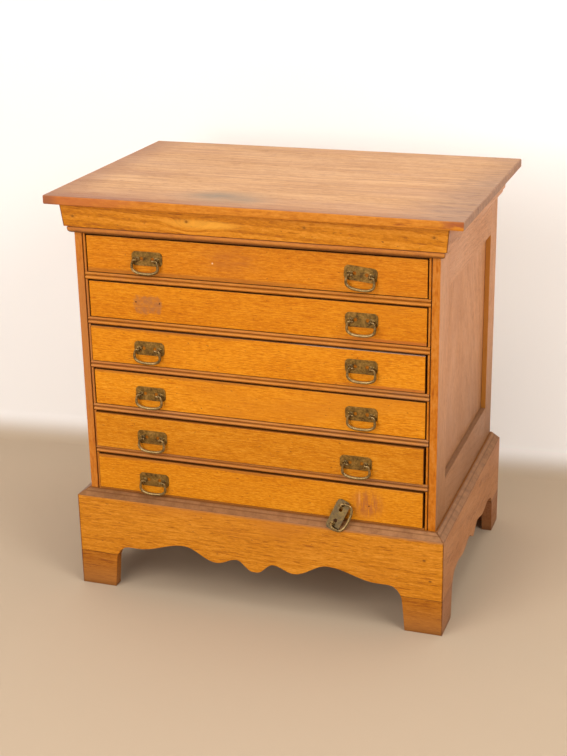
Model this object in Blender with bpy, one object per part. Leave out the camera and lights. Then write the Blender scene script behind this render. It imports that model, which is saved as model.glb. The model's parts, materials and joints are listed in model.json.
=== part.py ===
"""Spool cabinet: an oak chest of six shallow drawers on a scalloped plinth, with brass bail handles.

Metres. X runs to the right, Y to the back and Z up. The origin is on the floor under the middle.
"""
import math

import bmesh
import bpy
from mathutils import Matrix, Vector

# Overall size, the gap between pieces that touch, and how far a cutter passes a surface
HEIGHT = 0.6676
TOP_WIDTH = 0.660
TOP_DEPTH = 0.448
TOP_THICK = 0.0142
TOP_EDGE_ROUND = 0.002
FIT = 0.0003
OVERCUT = 0.002

# Case and its side frames
SIDE_OVERHANG = 0.038
FRONT_OVERHANG = 0.0255
CASE_CLEAR_OF_FLOOR = 0.140
FRAME_THICK = 0.0172
FRONT_STILE_DEPTH = 0.060
BACK_STILE_DEPTH = 0.050
SIDE_TOP_RAIL_HEIGHT = 0.106
SIDE_BOTTOM_RAIL_HEIGHT = 0.095
PANEL_THICK = 0.0055
PANEL_RECESS = 0.0085
GROOVE_DEPTH = 0.007
BACK_THICK = 0.008
BOTTOM_THICK = 0.018

# Flat, quirk and bead worked on the front edge of each front stile
STILE_FLAT = 0.0118
QUIRK_WIDTH = 0.0018
QUIRK_DEPTH = 0.003

# Drawer openings and the rails between them
DRAWER_COUNT = 6
OPENINGS_ABOVE_PLINTH = 0.0019
TOP_RAIL_HEIGHT = 0.0491
RAIL_HEIGHT = 0.012
RAIL_DEPTH = 0.040
RAIL_EAR_DEPTH = 0.0075
RAIL_BEAD_RISE = 0.0018
RAIL_LINE_WIDTH = 0.0012
RAIL_LINE_DEPTH = 0.0008
RUNNER_WIDTH = 0.030
TOP_RAIL_DEPTH = 0.022

# Drawers: how far each front stands out of the case, and sits right of the middle, from the top down
STANDS_OUT = (-0.001, -0.001, 0.0005, -0.0005, 0.0035, 0.002)
OFF_MIDDLE = (0.0, 0.0, -0.0012, 0.0, -0.0012, -0.0012)
FRONT_THICK = 0.018
FRONT_EDGE_ROUND = 0.0012
FRONT_SIDE_GAP = 0.0016
FRONT_LOW_GAP = 0.0008
FRONT_TOP_GAP = 0.002
TRAY_SIDE_GAP = 0.002
TRAY_SIDE_THICK = 0.010
TRAY_BOTTOM_THICK = 0.005
TRAY_BELOW_FRONT = 0.004
TRAY_BACK_SPACE = 0.0115

# Cornice under the top board
CORNICE_HEIGHT = 0.0474
CORNICE_TOP_PROUD = 0.0155
CORNICE_LOW_PROUD = 0.012
STRIP_HEIGHT = 0.0115
STRIP_PROUD = 0.0085
STRIP_LIP = 0.0013
STRIP_CURVE_HEIGHT = 0.006
STRIP_NECK = 0.0025
STRIP_NECK_HEIGHT = 0.002

# Plinth with its feet and scalloped lower edges
PLINTH_THICK = 0.0175
PLINTH_FACE_HEIGHT = 0.1614
PLINTH_SLOPE_RISE = 0.0097
PLINTH_FLAT = 0.003
FOOT_WIDTH_FRONT = 0.0605
FOOT_WIDTH_SIDE = 0.0615
FOOT_WIDTH_BACK = 0.050
FOOT_TAPER = 0.004
FOOT_STRAIGHT = 0.045
SHOULDER_WIDTH = 0.023
SHOULDER_HEIGHT = 0.076
BACK_CUT_HEIGHT = 0.078
# Turning points from the middle outwards: share of the half span, and height
FRONT_SCALLOP = ((0.0, 0.064), (0.014, 0.064), (0.125, 0.0815), (0.265, 0.071), (0.494, 0.093), (0.82, 0.076))
SIDE_SCALLOP = ((0.0, 0.068), (0.19, 0.082), (0.48, 0.074), (0.74, 0.079), (0.85, 0.076))

# Handles: a pierced plate with two posts and two nails, and a bail that swings in the posts
HANDLE_FROM_DRAWER_END = 0.0997
PLATE_WIDTH = 0.051
PLATE_HEIGHT = 0.0225
PLATE_THICK = 0.001
PLATE_CORNER = 0.0065
PIERCED_SPACING = 0.019
PIERCED_RADIUS = 0.0031
NAIL_SPACING = 0.040
NAIL_HEAD_RADIUS = 0.0019
NAIL_HEAD_RISE = 0.0009
NAIL_RADIUS = 0.0009
NAIL_LENGTH = 0.011
NAIL_HOLE_CLEARANCE = 0.0004
POST_SPACING = 0.032
POST_RADIUS = 0.0024
EYE_RADIUS = 0.0036
EYE_OUT = 0.0065
EYE_BELOW_CENTRE = 0.0015
EYE_CLEARANCE = 0.0004
WIRE_RADIUS = 0.0016
BAIL_BESIDE_POST = 0.0058
BAIL_DROP = 0.0214
BAIL_HOOK = 0.0026
BAIL_SHOULDER = 0.0105
BAIL_SQUARENESS = 0.65
PIN_REACH = 0.0038

# Handles off their usual place: sideways, upwards, and turn in degrees
NUDGES = {"left_1": (0.003, -0.0025, 0.0), "left_3": (0.0012, -0.001, 0.0),
          "left_4": (-0.002, -0.004, 0.0), "left_5": (-0.0003, -0.004, 0.0),
          "left_6": (-0.0013, -0.0055, 0.0), "right_1": (-0.0014, -0.0005, -5.5),
          "right_2": (0.0, 0.0025, 0.0), "right_3": (0.0012, 0.003, 0.0),
          "right_5": (-0.0063, -0.006, 0.0), "right_6": (-0.0058, -0.004, -112.0)}
LOST_HANDLE = "left_2"
LOOSE_HANDLE = f"right_{DRAWER_COUNT}"
LOOSE_NAIL_OUT = 0.0025
LOOSE_CLEARANCE = 0.0005
LOOSE_BAIL_SWING = -194.0

# Worked out from the sizes above
FRONT_Y = -TOP_DEPTH/2
BACK_Y = TOP_DEPTH/2
CASE_X = TOP_WIDTH/2 - SIDE_OVERHANG
CASE_Y = FRONT_Y + FRONT_OVERHANG
CASE_TOP = HEIGHT - TOP_THICK - FIT
INNER_X = CASE_X - FRAME_THICK
FITTED_X = INNER_X - FIT
BEAD_X = CASE_X - STILE_FLAT - QUIRK_WIDTH
PANEL_FACE_X = CASE_X - PANEL_RECESS
PANEL_BACK_X = PANEL_FACE_X - PANEL_THICK
FRONT_STILE_END = CASE_Y + FRONT_STILE_DEPTH
BACK_STILE_START = BACK_Y - BACK_STILE_DEPTH
BACK_PANEL_Y = BACK_Y - BACK_THICK
CORNICE_LOW = CASE_TOP - CORNICE_HEIGHT
PLINTH_INNER_X = CASE_X + FIT
PLINTH_INNER_Y = CASE_Y - FIT
PLINTH_X = PLINTH_INNER_X + PLINTH_THICK
PLINTH_Y = PLINTH_INNER_Y - PLINTH_THICK
PLINTH_TOP = PLINTH_FACE_HEIGHT + PLINTH_SLOPE_RISE
OPENINGS_LOW = PLINTH_TOP + OPENINGS_ABOVE_PLINTH
OPENINGS_HIGH = CASE_TOP - TOP_RAIL_HEIGHT
HANDLE_X = INNER_X - FRONT_SIDE_GAP - HANDLE_FROM_DRAWER_END
MITRE_GAP = FIT*math.sqrt(0.5)
OPENING_HEIGHT = (OPENINGS_HIGH - OPENINGS_LOW - (DRAWER_COUNT - 1)*RAIL_HEIGHT)/DRAWER_COUNT
SIDES = (("left", -1), ("right", 1))


def opening_low(number):
    """Height of the bottom of a drawer opening, counted from the top drawer down."""
    return OPENINGS_HIGH - number*OPENING_HEIGHT - (number - 1)*RAIL_HEIGHT


def stands_out(number):
    return STANDS_OUT[(number - 1) % len(STANDS_OUT)]


def off_middle(number):
    return OFF_MIDDLE[(number - 1) % len(OFF_MIDDLE)]


# Materials
def finish(name, colour, roughness, metallic=0.0):
    """A plain material, made once."""
    material = bpy.data.materials.get(name) or bpy.data.materials.new(name)
    material.use_nodes = True
    shader = material.node_tree.nodes["Principled BSDF"]
    shader.inputs["Base Color"].default_value = (*colour, 1.0)
    shader.inputs["Roughness"].default_value = roughness
    shader.inputs["Metallic"].default_value = metallic
    return material


def front_oak():
    return finish("front_oak", (0.62, 0.27, 0.05), 0.42)


def case_oak():
    return finish("case_oak", (0.47, 0.22, 0.09), 0.5)


def top_oak():
    return finish("top_oak", (0.55, 0.31, 0.15), 0.5)


def inside_wood():
    return finish("inside_wood", (0.55, 0.38, 0.20), 0.7)


def aged_brass():
    return finish("aged_brass", (0.30, 0.22, 0.09), 0.4, 0.9)


# Solids
def loft(rings):
    """A closed body through rings with the same number of points."""
    body = bmesh.new()
    loops = [[body.verts.new(point) for point in ring] for ring in rings]
    count = len(rings[0])
    for first, second in zip(loops, loops[1:]):
        for i in range(count):
            j = (i + 1) % count
            body.faces.new((first[i], first[j], second[j], second[i]))
    body.faces.new(loops[0])
    body.faces.new(loops[-1])
    bmesh.ops.recalc_face_normals(body, faces=body.faces)
    return body


def prism(outline, axis, low, high):
    """A flat outline drawn out along an axis. The outline's pairs keep the order X, Y, Z."""
    def at(pair, level):
        place = list(pair)
        place.insert("xyz".index(axis), level)
        return Vector(place)
    return loft([[at(pair, low) for pair in outline], [at(pair, high) for pair in outline]])


def block(x, y, z):
    """A rectangular block from three pairs of limits."""
    return prism([(x[0], y[0]), (x[1], y[0]), (x[1], y[1]), (x[0], y[1])], "z", z[0], z[1])


def turned(profile, sides):
    """A body turned about Y from pairs of radius and Y that start and end on the axis."""
    body = bmesh.new()
    turns = [2*math.pi*i/sides for i in range(sides)]
    loops = [[body.verts.new((radius*math.cos(a), level, radius*math.sin(a))) for a in turns]
             for radius, level in profile[1:-1]]
    for first, second in zip(loops, loops[1:]):
        for i in range(sides):
            j = (i + 1) % sides
            body.faces.new((first[i], first[j], second[j], second[i]))
    for (_, level), loop in ((profile[0], loops[0]), (profile[-1], loops[-1])):
        tip = body.verts.new((0.0, level, 0.0))
        for i in range(sides):
            body.faces.new((loop[i], loop[(i + 1) % sides], tip))
    bmesh.ops.recalc_face_normals(body, faces=body.faces)
    return body


def rod(radius, low, high, sides):
    """A round rod along Y."""
    return turned([(0.0, low), (radius, low), (radius, high), (0.0, high)], sides)


def wire(path, radius, sides):
    """A round wire along a path that lies in the XZ plane."""
    rings = []
    for i, point in enumerate(path):
        along = (path[min(i + 1, len(path) - 1)] - path[max(i - 1, 0)]).normalized()
        across = Vector((along.z, 0.0, -along.x))
        ring = []
        for step in range(sides):
            angle = 2*math.pi*(step + 0.5)/sides
            ring.append(point + across*radius*math.cos(angle) + Vector((0, radius*math.sin(angle), 0)))
        rings.append(ring)
    return loft(rings)


def moved(body, matrix):
    bmesh.ops.transform(body, matrix=matrix, verts=body.verts)
    return body


def shifted(body, x=0.0, y=0.0, z=0.0):
    return moved(body, Matrix.Translation((x, y, z)))


def eased(body, width):
    """The body with all its edges rounded a little."""
    bmesh.ops.bevel(body, geom=body.edges[:], offset=width, segments=2, profile=0.5, affect="EDGES")
    return body


def holder(body, name):
    """Puts a body into the scene as an object."""
    mesh = bpy.data.meshes.new(name)
    body.to_mesh(mesh)
    body.free()
    piece = bpy.data.objects.new(name, mesh)
    bpy.context.scene.collection.objects.link(piece)
    return piece


def worked(base, tools, operation="DIFFERENCE"):
    """The base body with the tool bodies cut away or joined on."""
    piece = holder(base, "blank")
    others = [holder(tool, "tool") for tool in tools]
    for other in others:
        modifier = piece.modifiers.new("work", "BOOLEAN")
        modifier.operation = operation
        modifier.solver = "EXACT"
        modifier.object = other
    result = bmesh.new()
    result.from_object(piece, bpy.context.evaluated_depsgraph_get())
    for item in [piece, *others]:
        mesh = item.data
        bpy.data.objects.remove(item)
        bpy.data.meshes.remove(mesh)
    return result


def make(name, body, material, parent=None, place=None):
    """A named piece with its material, at its place in its parent's frame."""
    piece = holder(body, name)
    piece.data.materials.append(material)
    piece.data.shade_smooth()
    piece.data.set_sharp_from_angle(angle=math.radians(35))
    piece.parent = parent
    piece.matrix_local = place or Matrix()
    return piece


# Top board and cornice
def top_board():
    board = block((-TOP_WIDTH/2, TOP_WIDTH/2), (FRONT_Y, BACK_Y), (HEIGHT - TOP_THICK, HEIGHT))
    make("top_board", eased(board, TOP_EDGE_ROUND), top_oak())


def cornice_profile():
    """Pairs of how far out from the case face, and height."""
    strip_top = CORNICE_LOW + STRIP_HEIGHT
    points = [(FIT, CORNICE_LOW), (STRIP_LIP, CORNICE_LOW)]
    for step in range(1, 5):
        angle = math.radians(90*step/4)
        points.append((STRIP_LIP + (STRIP_PROUD - STRIP_LIP)*math.sin(angle),
                       CORNICE_LOW + STRIP_CURVE_HEIGHT*(1 - math.cos(angle))))
    neck = STRIP_PROUD - STRIP_NECK
    points += [(STRIP_PROUD, strip_top - STRIP_NECK_HEIGHT), (neck, strip_top - STRIP_NECK_HEIGHT/2),
               (neck, strip_top), (CORNICE_LOW_PROUD, strip_top), (CORNICE_TOP_PROUD, CASE_TOP),
               (FIT, CASE_TOP)]
    return points


def cornice():
    profile = cornice_profile()
    ends = [[Vector((side*(CASE_X + out - MITRE_GAP), CASE_Y - out, z)) for out, z in profile]
            for side in (-1, 1)]
    make("cornice_front", loft(ends), front_oak())
    for name, side in SIDES:
        front = [Vector((side*(CASE_X + out), CASE_Y - out + MITRE_GAP, z)) for out, z in profile]
        back = [Vector((side*(CASE_X + out), BACK_Y, z)) for out, z in profile]
        make("cornice_" + name, loft([front, back]), case_oak())


# Side frames
def grooved(edge, bottom, far_edge):
    """Section of a frame member: X and the other axis, with the panel groove in one edge."""
    inner, outer = PANEL_BACK_X - FIT, PANEL_FACE_X + FIT
    return [(INNER_X, far_edge), (INNER_X, edge), (inner, edge), (inner, bottom), (outer, bottom),
            (outer, edge), (CASE_X, edge), (CASE_X, far_edge)]


def front_stile(name, side):
    """Stile with a bead and quirk on its front edge, notched where the drawer rails pass."""
    radius = (BEAD_X - INNER_X)/2
    quirk_y = CASE_Y + QUIRK_DEPTH
    outline = grooved(FRONT_STILE_END, FRONT_STILE_END - GROOVE_DEPTH, CASE_Y)[1:]
    outline += [(CASE_X - STILE_FLAT, CASE_Y), (CASE_X - STILE_FLAT, quirk_y), (BEAD_X, quirk_y)]
    for step in range(7):
        angle = math.radians(180*step/6)
        outline.append((INNER_X + radius*(1 + math.cos(angle)), CASE_Y + radius*(1 - math.sin(angle))))
    body = prism([(side*x, y) for x, y in outline], "z", CASE_CLEAR_OF_FLOOR, CASE_TOP)
    notches = []
    for number in range(1, DRAWER_COUNT):
        high = opening_low(number) + FIT
        notches.append(block(sorted((side*(INNER_X - OVERCUT), side*(BEAD_X + FIT))),
                             (CASE_Y - OVERCUT, CASE_Y + RAIL_EAR_DEPTH + FIT),
                             (high - RAIL_HEIGHT - 2*FIT, high)))
    make("front_stile_" + name, worked(body, notches), front_oak())


def back_stile(name, side):
    outline = grooved(BACK_STILE_START, BACK_STILE_START + GROOVE_DEPTH, BACK_Y)
    body = prism([(side*x, y) for x, y in outline], "z", CASE_CLEAR_OF_FLOOR, CASE_TOP)
    make("back_stile_" + name, body, case_oak())


def side_rail(name, side, section):
    body = prism([(side*x, z) for x, z in section], "y", FRONT_STILE_END + FIT, BACK_STILE_START - FIT)
    make(name, body, case_oak())


def side_frames():
    low = CASE_CLEAR_OF_FLOOR + SIDE_BOTTOM_RAIL_HEIGHT
    high = CASE_TOP - SIDE_TOP_RAIL_HEIGHT
    tongue = GROOVE_DEPTH - FIT
    for name, side in SIDES:
        front_stile(name, side)
        back_stile(name, side)
        side_rail("side_top_rail_" + name, side, grooved(high, high + GROOVE_DEPTH, CASE_TOP))
        side_rail("side_bottom_rail_" + name, side, grooved(low, low - GROOVE_DEPTH, CASE_CLEAR_OF_FLOOR))
        panel = block(sorted((side*PANEL_FACE_X, side*PANEL_BACK_X)),
                      (FRONT_STILE_END - tongue, BACK_STILE_START + tongue), (low - tongue, high + tongue))
        make("side_panel_" + name, panel, case_oak())


# Front rails, back and bottom
def double_bead(low):
    """Section in Y and Z of what is cut away in front of a rail to leave two beads."""
    bead = (RAIL_HEIGHT - RAIL_LINE_WIDTH)/2
    front = CASE_Y - 2*OVERCUT
    root = CASE_Y + RAIL_BEAD_RISE
    points = [(front, low - OVERCUT), (root, low - OVERCUT)]
    for start in (0.0, bead + RAIL_LINE_WIDTH):
        for step in range(6):
            share = step/5
            points.append((root - RAIL_BEAD_RISE*math.sin(math.pi*share), low + start + bead*share))
        if not start:
            points.append((root + RAIL_LINE_DEPTH, low + bead + RAIL_LINE_WIDTH/2))
    return points + [(root, low + RAIL_HEIGHT + OVERCUT), (front, low + RAIL_HEIGHT + OVERCUT)]


def drawer_divider(number):
    """Front rail with its two side runners, glued up as one frame."""
    low = opening_low(number) - RAIL_HEIGHT
    front = CASE_Y - OVERCUT
    ear = CASE_Y + RAIL_EAR_DEPTH
    back = BACK_PANEL_Y - FIT
    inside = FITTED_X - RUNNER_WIDTH
    half = [(BEAD_X, front), (BEAD_X, ear), (FITTED_X, ear), (FITTED_X, back), (inside, back),
            (inside, CASE_Y + RAIL_DEPTH)]
    frame = prism(half + [(-x, y) for x, y in reversed(half)], "z", low, low + RAIL_HEIGHT)
    cutter = prism(double_bead(low), "x", -CASE_X, CASE_X)
    make(f"drawer_divider_{number}", worked(frame, [cutter]), front_oak())


def case_boards():
    width = (-FITTED_X, FITTED_X)
    make("top_rail", block(width, (CASE_Y, CASE_Y + TOP_RAIL_DEPTH), (OPENINGS_HIGH, CASE_TOP)), front_oak())
    make("back_panel", block(width, (BACK_PANEL_Y, BACK_Y), (CASE_CLEAR_OF_FLOOR, CASE_TOP)), inside_wood())
    make("bottom_board", block(width, (CASE_Y, BACK_PANEL_Y - FIT),
                               (OPENINGS_LOW - BOTTOM_THICK, OPENINGS_LOW)), inside_wood())


# Plinth
def blend(first, second, share):
    """A smooth wave from one height to another."""
    return first + (second - first)*(1 - math.cos(math.pi*share))/2


def lower_edge(low_end, high_end, stations):
    """Lower edge of a plinth board between its two feet, from the low end to the high end."""
    middle = (low_end + high_end)/2
    half_span = (high_end - low_end)/2
    half = []
    for (share, height), (next_share, next_height) in zip(stations, stations[1:]):
        steps = 1 if height == next_height else 8
        for step in range(steps):
            place = share + (next_share - share)*step/steps
            half.append((place*half_span, blend(height, next_height, step/steps)))
    half.append((stations[-1][0]*half_span, stations[-1][1]))
    shoulder = half_span - FOOT_TAPER - SHOULDER_WIDTH
    for step in range(6):
        angle = math.radians(90*step/5)
        half.append((shoulder + SHOULDER_WIDTH*math.sin(angle),
                     FOOT_STRAIGHT + (SHOULDER_HEIGHT - FOOT_STRAIGHT)*math.cos(angle)))
    half.append((half_span, 0.0))
    return [(middle - d, z) for d, z in reversed(half)] + [(middle + d, z) for d, z in half[1:]]


def plinth_layers():
    """Pairs of how far out from the inner face, and top height, from the outer face inwards."""
    return (PLINTH_THICK, PLINTH_FACE_HEIGHT), (PLINTH_FLAT, PLINTH_TOP), (0.0, PLINTH_TOP)


def plinth_front():
    edge = lower_edge(FOOT_WIDTH_FRONT - PLINTH_X, PLINTH_X - FOOT_WIDTH_FRONT, FRONT_SCALLOP)
    rings = []
    for out, top in plinth_layers():
        end = PLINTH_INNER_X + out - MITRE_GAP
        outline = [(-end, top), (-end, 0.0), *edge, (end, 0.0), (end, top)]
        rings.append([Vector((x, PLINTH_INNER_Y - out, z)) for x, z in outline])
    make("plinth_front", loft(rings), front_oak())


def plinth_side(name, side):
    edge = lower_edge(PLINTH_Y + FOOT_WIDTH_SIDE, BACK_Y - FOOT_WIDTH_BACK, SIDE_SCALLOP)
    rings = []
    for out, top in plinth_layers():
        end = PLINTH_INNER_Y - out + MITRE_GAP
        outline = [(end, top), (end, 0.0), *edge, (BACK_Y, 0.0), (BACK_Y, top)]
        rings.append([Vector((side*(PLINTH_INNER_X + out), y, z)) for y, z in outline])
    make("plinth_" + name, loft(rings), case_oak())


def plinth_back():
    end = PLINTH_INNER_X - FIT
    top = CASE_CLEAR_OF_FLOOR - FIT
    inner = end - FOOT_WIDTH_BACK
    edge = [(-inner, 0.0), (-inner, BACK_CUT_HEIGHT), (inner, BACK_CUT_HEIGHT), (inner, 0.0)]
    outline = [(-end, top), (-end, 0.0), *edge, (end, 0.0), (end, top)]
    make("plinth_back", prism(outline, "y", BACK_Y - PLINTH_THICK, BACK_Y), case_oak())


# Drawers. Each has its own frame: the bottom middle of its opening, at the face of its front
def drawer_frame(number):
    frame = bpy.data.objects.new(f"drawer_{number}", None)
    frame.location = (off_middle(number), CASE_Y - stands_out(number), opening_low(number))
    bpy.context.scene.collection.objects.link(frame)
    return frame


def drawer_front(number, frame):
    half = INNER_X - FRONT_SIDE_GAP
    body = block((-half, half), (0.0, FRONT_THICK), (FRONT_LOW_GAP, OPENING_HEIGHT - FRONT_TOP_GAP))
    holes = []
    for name, _ in SIDES:
        centre = handle_centre(name, number)
        turn = nudge(name, number)[2] if f"{name}_{number}" != LOOSE_HANDLE else 0.0
        for side in (-1, 1):
            hole = rod(NAIL_RADIUS + NAIL_HOLE_CLEARANCE, -OVERCUT, NAIL_LENGTH + FIT, 6)
            shifted(hole, side*NAIL_SPACING/2)
            holes.append(moved(hole, Matrix.Translation(centre) @ spin(turn)))
    make(f"drawer_front_{number}", worked(eased(body, FRONT_EDGE_ROUND), holes), front_oak(), frame)


def drawer_tray(number, frame):
    """Sides, back and bottom of a drawer, open above, and closed in front by the drawer front."""
    high = OPENING_HEIGHT - FRONT_TOP_GAP - TRAY_BELOW_FRONT
    half = INNER_X - TRAY_SIDE_GAP
    inner = half - TRAY_SIDE_THICK
    front = FRONT_THICK + FIT
    back = BACK_PANEL_Y - TRAY_BACK_SPACE - CASE_Y
    body = block((-half, half), (front, back), (FIT, high))
    hollow = block((-inner, inner), (front - OVERCUT, back - TRAY_SIDE_THICK),
                   (FIT + TRAY_BOTTOM_THICK, high + OVERCUT))
    make(f"drawer_tray_{number}", worked(body, [hollow]), inside_wood(), frame)


# Handles. Each has its own frame: the middle of its plate's back, with Y into the wood
def nudge(name, number):
    return NUDGES.get(f"{name}_{number}", (0.0, 0.0, 0.0))


def spin(degrees):
    """A turn anticlockwise as seen from the front."""
    return Matrix.Rotation(-math.radians(degrees), 4, "Y")


def handle_centre(name, number):
    """Middle of a handle in its drawer's frame."""
    side = dict(SIDES)[name]
    sideways, upwards, _ = nudge(name, number)
    return Vector((side*HANDLE_X + sideways, -FIT, OPENING_HEIGHT/2 + upwards))


def handle_place(name, number, frame):
    """Matrix of a handle in its drawer's frame."""
    centre = handle_centre(name, number)
    turn = spin(nudge(name, number)[2])
    if f"{name}_{number}" != LOOSE_HANDLE:
        return Matrix.Translation(centre) @ turn
    nail = centre + Vector((-NAIL_SPACING/2, -LOOSE_NAIL_OUT, 0.0))
    out = nail.y + frame.location.y - PLINTH_Y + LOOSE_CLEARANCE
    lean = math.atan2(out, nail.z + frame.location.z - PLINTH_FACE_HEIGHT)
    hung = Matrix.Rotation(-lean, 4, "X") @ turn
    return Matrix.Translation(nail) @ hung @ Matrix.Translation((NAIL_SPACING/2, 0.0, 0.0))


def plate_outline():
    """Rectangle with rounded corners, as pairs of X and Z."""
    points = []
    for x_side, z_side, start in ((1, 1, 0), (-1, 1, 90), (-1, -1, 180), (1, -1, 270)):
        x = x_side*(PLATE_WIDTH/2 - PLATE_CORNER)
        z = z_side*(PLATE_HEIGHT/2 - PLATE_CORNER)
        for step in range(3):
            angle = math.radians(start + 90*step/2)
            points.append((x + PLATE_CORNER*math.cos(angle), z + PLATE_CORNER*math.sin(angle)))
    return points


def post_profile():
    """Neck and ball of a post, from inside the plate outwards."""
    points = [(0.0, -PLATE_THICK/2), (POST_RADIUS, -PLATE_THICK/2)]
    for degrees in (135, 95, 60, 25):
        angle = math.radians(degrees)
        points.append((EYE_RADIUS*math.sin(angle), -EYE_OUT - EYE_RADIUS*math.cos(angle)))
    return points + [(0.0, -EYE_OUT - EYE_RADIUS)]


def nail_profile(length):
    """Shank in the wood and domed head in front of the plate."""
    under = -PLATE_THICK/2
    face = -PLATE_THICK
    return [(0.0, length), (NAIL_RADIUS, length), (NAIL_RADIUS, under), (NAIL_HEAD_RADIUS, under),
            (NAIL_HEAD_RADIUS, face - NAIL_HEAD_RISE/3), (0.0, face - NAIL_HEAD_RISE)]


def handle_plate(loose):
    """Plate, posts and nails in the handle's own frame. The loose one has lost its right nail."""
    pierced = [shifted(rod(PIERCED_RADIUS, -OVERCUT, OVERCUT, 12), side*PIERCED_SPACING/2)
               for side in (-1, 1)]
    empty = [shifted(rod(NAIL_RADIUS + FIT, -OVERCUT, OVERCUT, 6), NAIL_SPACING/2)] if loose else []
    plate = worked(prism(plate_outline(), "y", -PLATE_THICK, 0.0), pierced + empty)
    posts = [shifted(turned(post_profile(), 8), side*POST_SPACING/2, 0.0, -EYE_BELOW_CENTRE)
             for side in (-1, 1)]
    # The loose plate leans on its nail, so only the part of the shank outside the wood is there
    shank = LOOSE_NAIL_OUT*0.5 if loose else NAIL_LENGTH
    nails = [shifted(turned(nail_profile(shank), 6), side*NAIL_SPACING/2)
             for side in ((-1,) if loose else (-1, 1))]
    eye = moved(rod(WIRE_RADIUS + EYE_CLEARANCE, -POST_SPACING, POST_SPACING, 8),
                Matrix.Translation((0.0, -EYE_OUT, -EYE_BELOW_CENTRE)) @ Matrix.Rotation(math.pi/2, 4, "Z"))
    return worked(worked(plate, posts + nails, "UNION"), [eye])


def bail_path():
    """Half loop hung from two pins that point inwards through the eyes."""
    outer = POST_SPACING/2 + BAIL_BESIDE_POST
    turn = outer - BAIL_HOOK
    half = [Vector((POST_SPACING/2 - PIN_REACH, 0, 0)), Vector((POST_SPACING/2, 0, 0))]
    for step in range(4):
        angle = math.radians(90 - 90*step/4)
        half.append(Vector((turn + BAIL_HOOK*math.cos(angle), 0, BAIL_SHOULDER*(math.sin(angle) - 1))))
    for step in range(7):
        angle = math.radians(90*step/6)
        spread = outer*max(math.cos(angle), 0.0)**BAIL_SQUARENESS
        fall = (BAIL_DROP - BAIL_SHOULDER)*math.sin(angle)**BAIL_SQUARENESS
        half.append(Vector((spread, 0, -BAIL_SHOULDER - fall)))
    return [Vector((-p.x, 0, p.z)) for p in half[:-1]] + list(reversed(half))


def handle(name, number, frame):
    loose = f"{name}_{number}" == LOOSE_HANDLE
    place = handle_place(name, number, frame)
    make(f"handle_plate_{name}_{number}", handle_plate(loose), aged_brass(), frame, place)
    pivot = place @ Matrix.Translation((0.0, -EYE_OUT, -EYE_BELOW_CENTRE))
    if loose:
        pivot = pivot @ Matrix.Rotation(math.radians(LOOSE_BAIL_SWING), 4, "X")
    make(f"bail_{name}_{number}", wire(bail_path(), WIRE_RADIUS, 6), aged_brass(), frame, pivot)


def build():
    for piece in list(bpy.data.objects):
        bpy.data.objects.remove(piece)
    top_board()
    cornice()
    side_frames()
    case_boards()
    for number in range(1, DRAWER_COUNT):
        drawer_divider(number)
    plinth_front()
    for name, side in SIDES:
        plinth_side(name, side)
    plinth_back()
    for number in range(1, DRAWER_COUNT + 1):
        frame = drawer_frame(number)
        drawer_front(number, frame)
        drawer_tray(number, frame)
        for name, _ in SIDES:
            if f"{name}_{number}" != LOST_HANDLE:
                handle(name, number, frame)


build()
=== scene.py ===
"""Looks of the spool cabinet: honey oak under old varnish, aged brass handles, studio floor and light.

Metres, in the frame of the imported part: X to the right, Y to the back, Z up.
"""

import json
import math

import bpy
from mathutils import Matrix, Vector

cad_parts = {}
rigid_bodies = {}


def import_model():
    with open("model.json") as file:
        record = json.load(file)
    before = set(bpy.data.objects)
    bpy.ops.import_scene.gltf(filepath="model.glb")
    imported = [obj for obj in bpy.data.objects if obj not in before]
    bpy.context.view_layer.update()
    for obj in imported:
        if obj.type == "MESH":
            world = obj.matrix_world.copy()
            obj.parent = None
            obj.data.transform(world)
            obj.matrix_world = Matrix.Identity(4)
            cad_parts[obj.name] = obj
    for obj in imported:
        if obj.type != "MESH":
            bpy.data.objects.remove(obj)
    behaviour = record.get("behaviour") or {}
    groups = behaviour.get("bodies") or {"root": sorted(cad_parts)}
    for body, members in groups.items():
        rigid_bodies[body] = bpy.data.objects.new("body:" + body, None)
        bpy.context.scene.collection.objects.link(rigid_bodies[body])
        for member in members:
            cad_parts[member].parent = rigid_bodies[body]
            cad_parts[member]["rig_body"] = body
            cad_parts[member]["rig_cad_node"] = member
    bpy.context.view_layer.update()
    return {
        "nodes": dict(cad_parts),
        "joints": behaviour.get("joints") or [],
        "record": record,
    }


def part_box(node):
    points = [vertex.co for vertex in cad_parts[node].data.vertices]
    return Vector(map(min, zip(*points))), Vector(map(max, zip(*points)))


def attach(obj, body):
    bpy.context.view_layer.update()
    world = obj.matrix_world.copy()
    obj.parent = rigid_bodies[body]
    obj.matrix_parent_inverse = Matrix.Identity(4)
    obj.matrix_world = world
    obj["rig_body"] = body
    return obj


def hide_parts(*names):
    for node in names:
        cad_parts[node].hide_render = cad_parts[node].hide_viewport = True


# Camera
CAMERA_PLACE = (0.7436, -2.1849, 1.1702)
CAMERA_YAW = 19.27
CAMERA_PITCH = 20.162
CAMERA_ROLL = -1.063
FOCAL_PIXELS = 1458.8
PICTURE_HEIGHT = 756
SENSOR_HEIGHT = 36.0

# Studio
FLOOR_COLOUR = (0.475, 0.360, 0.245)
WALL_COLOUR = (0.86, 0.82, 0.78)
WALL_MIDDLE = (0.0, 0.43)
WALL_TURN = 6.0
COVE_RADIUS = 0.05
STUDIO_REACH = 4.5
WORLD_LIGHT = 0.36
LAMPS = (("key", (-1.5, -2.6, 2.1), 1.8, 43.5), ("fill", (2.3, -1.5, 2.1), 1.6, 43.0),
         ("overhead", (0.2, -0.3, 2.6), 1.6, 23.0), ("front", (-0.5, -2.9, 1.0), 1.0, 24.5))
LAMP_TARGET = (0.0, 0.0, 0.35)

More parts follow.
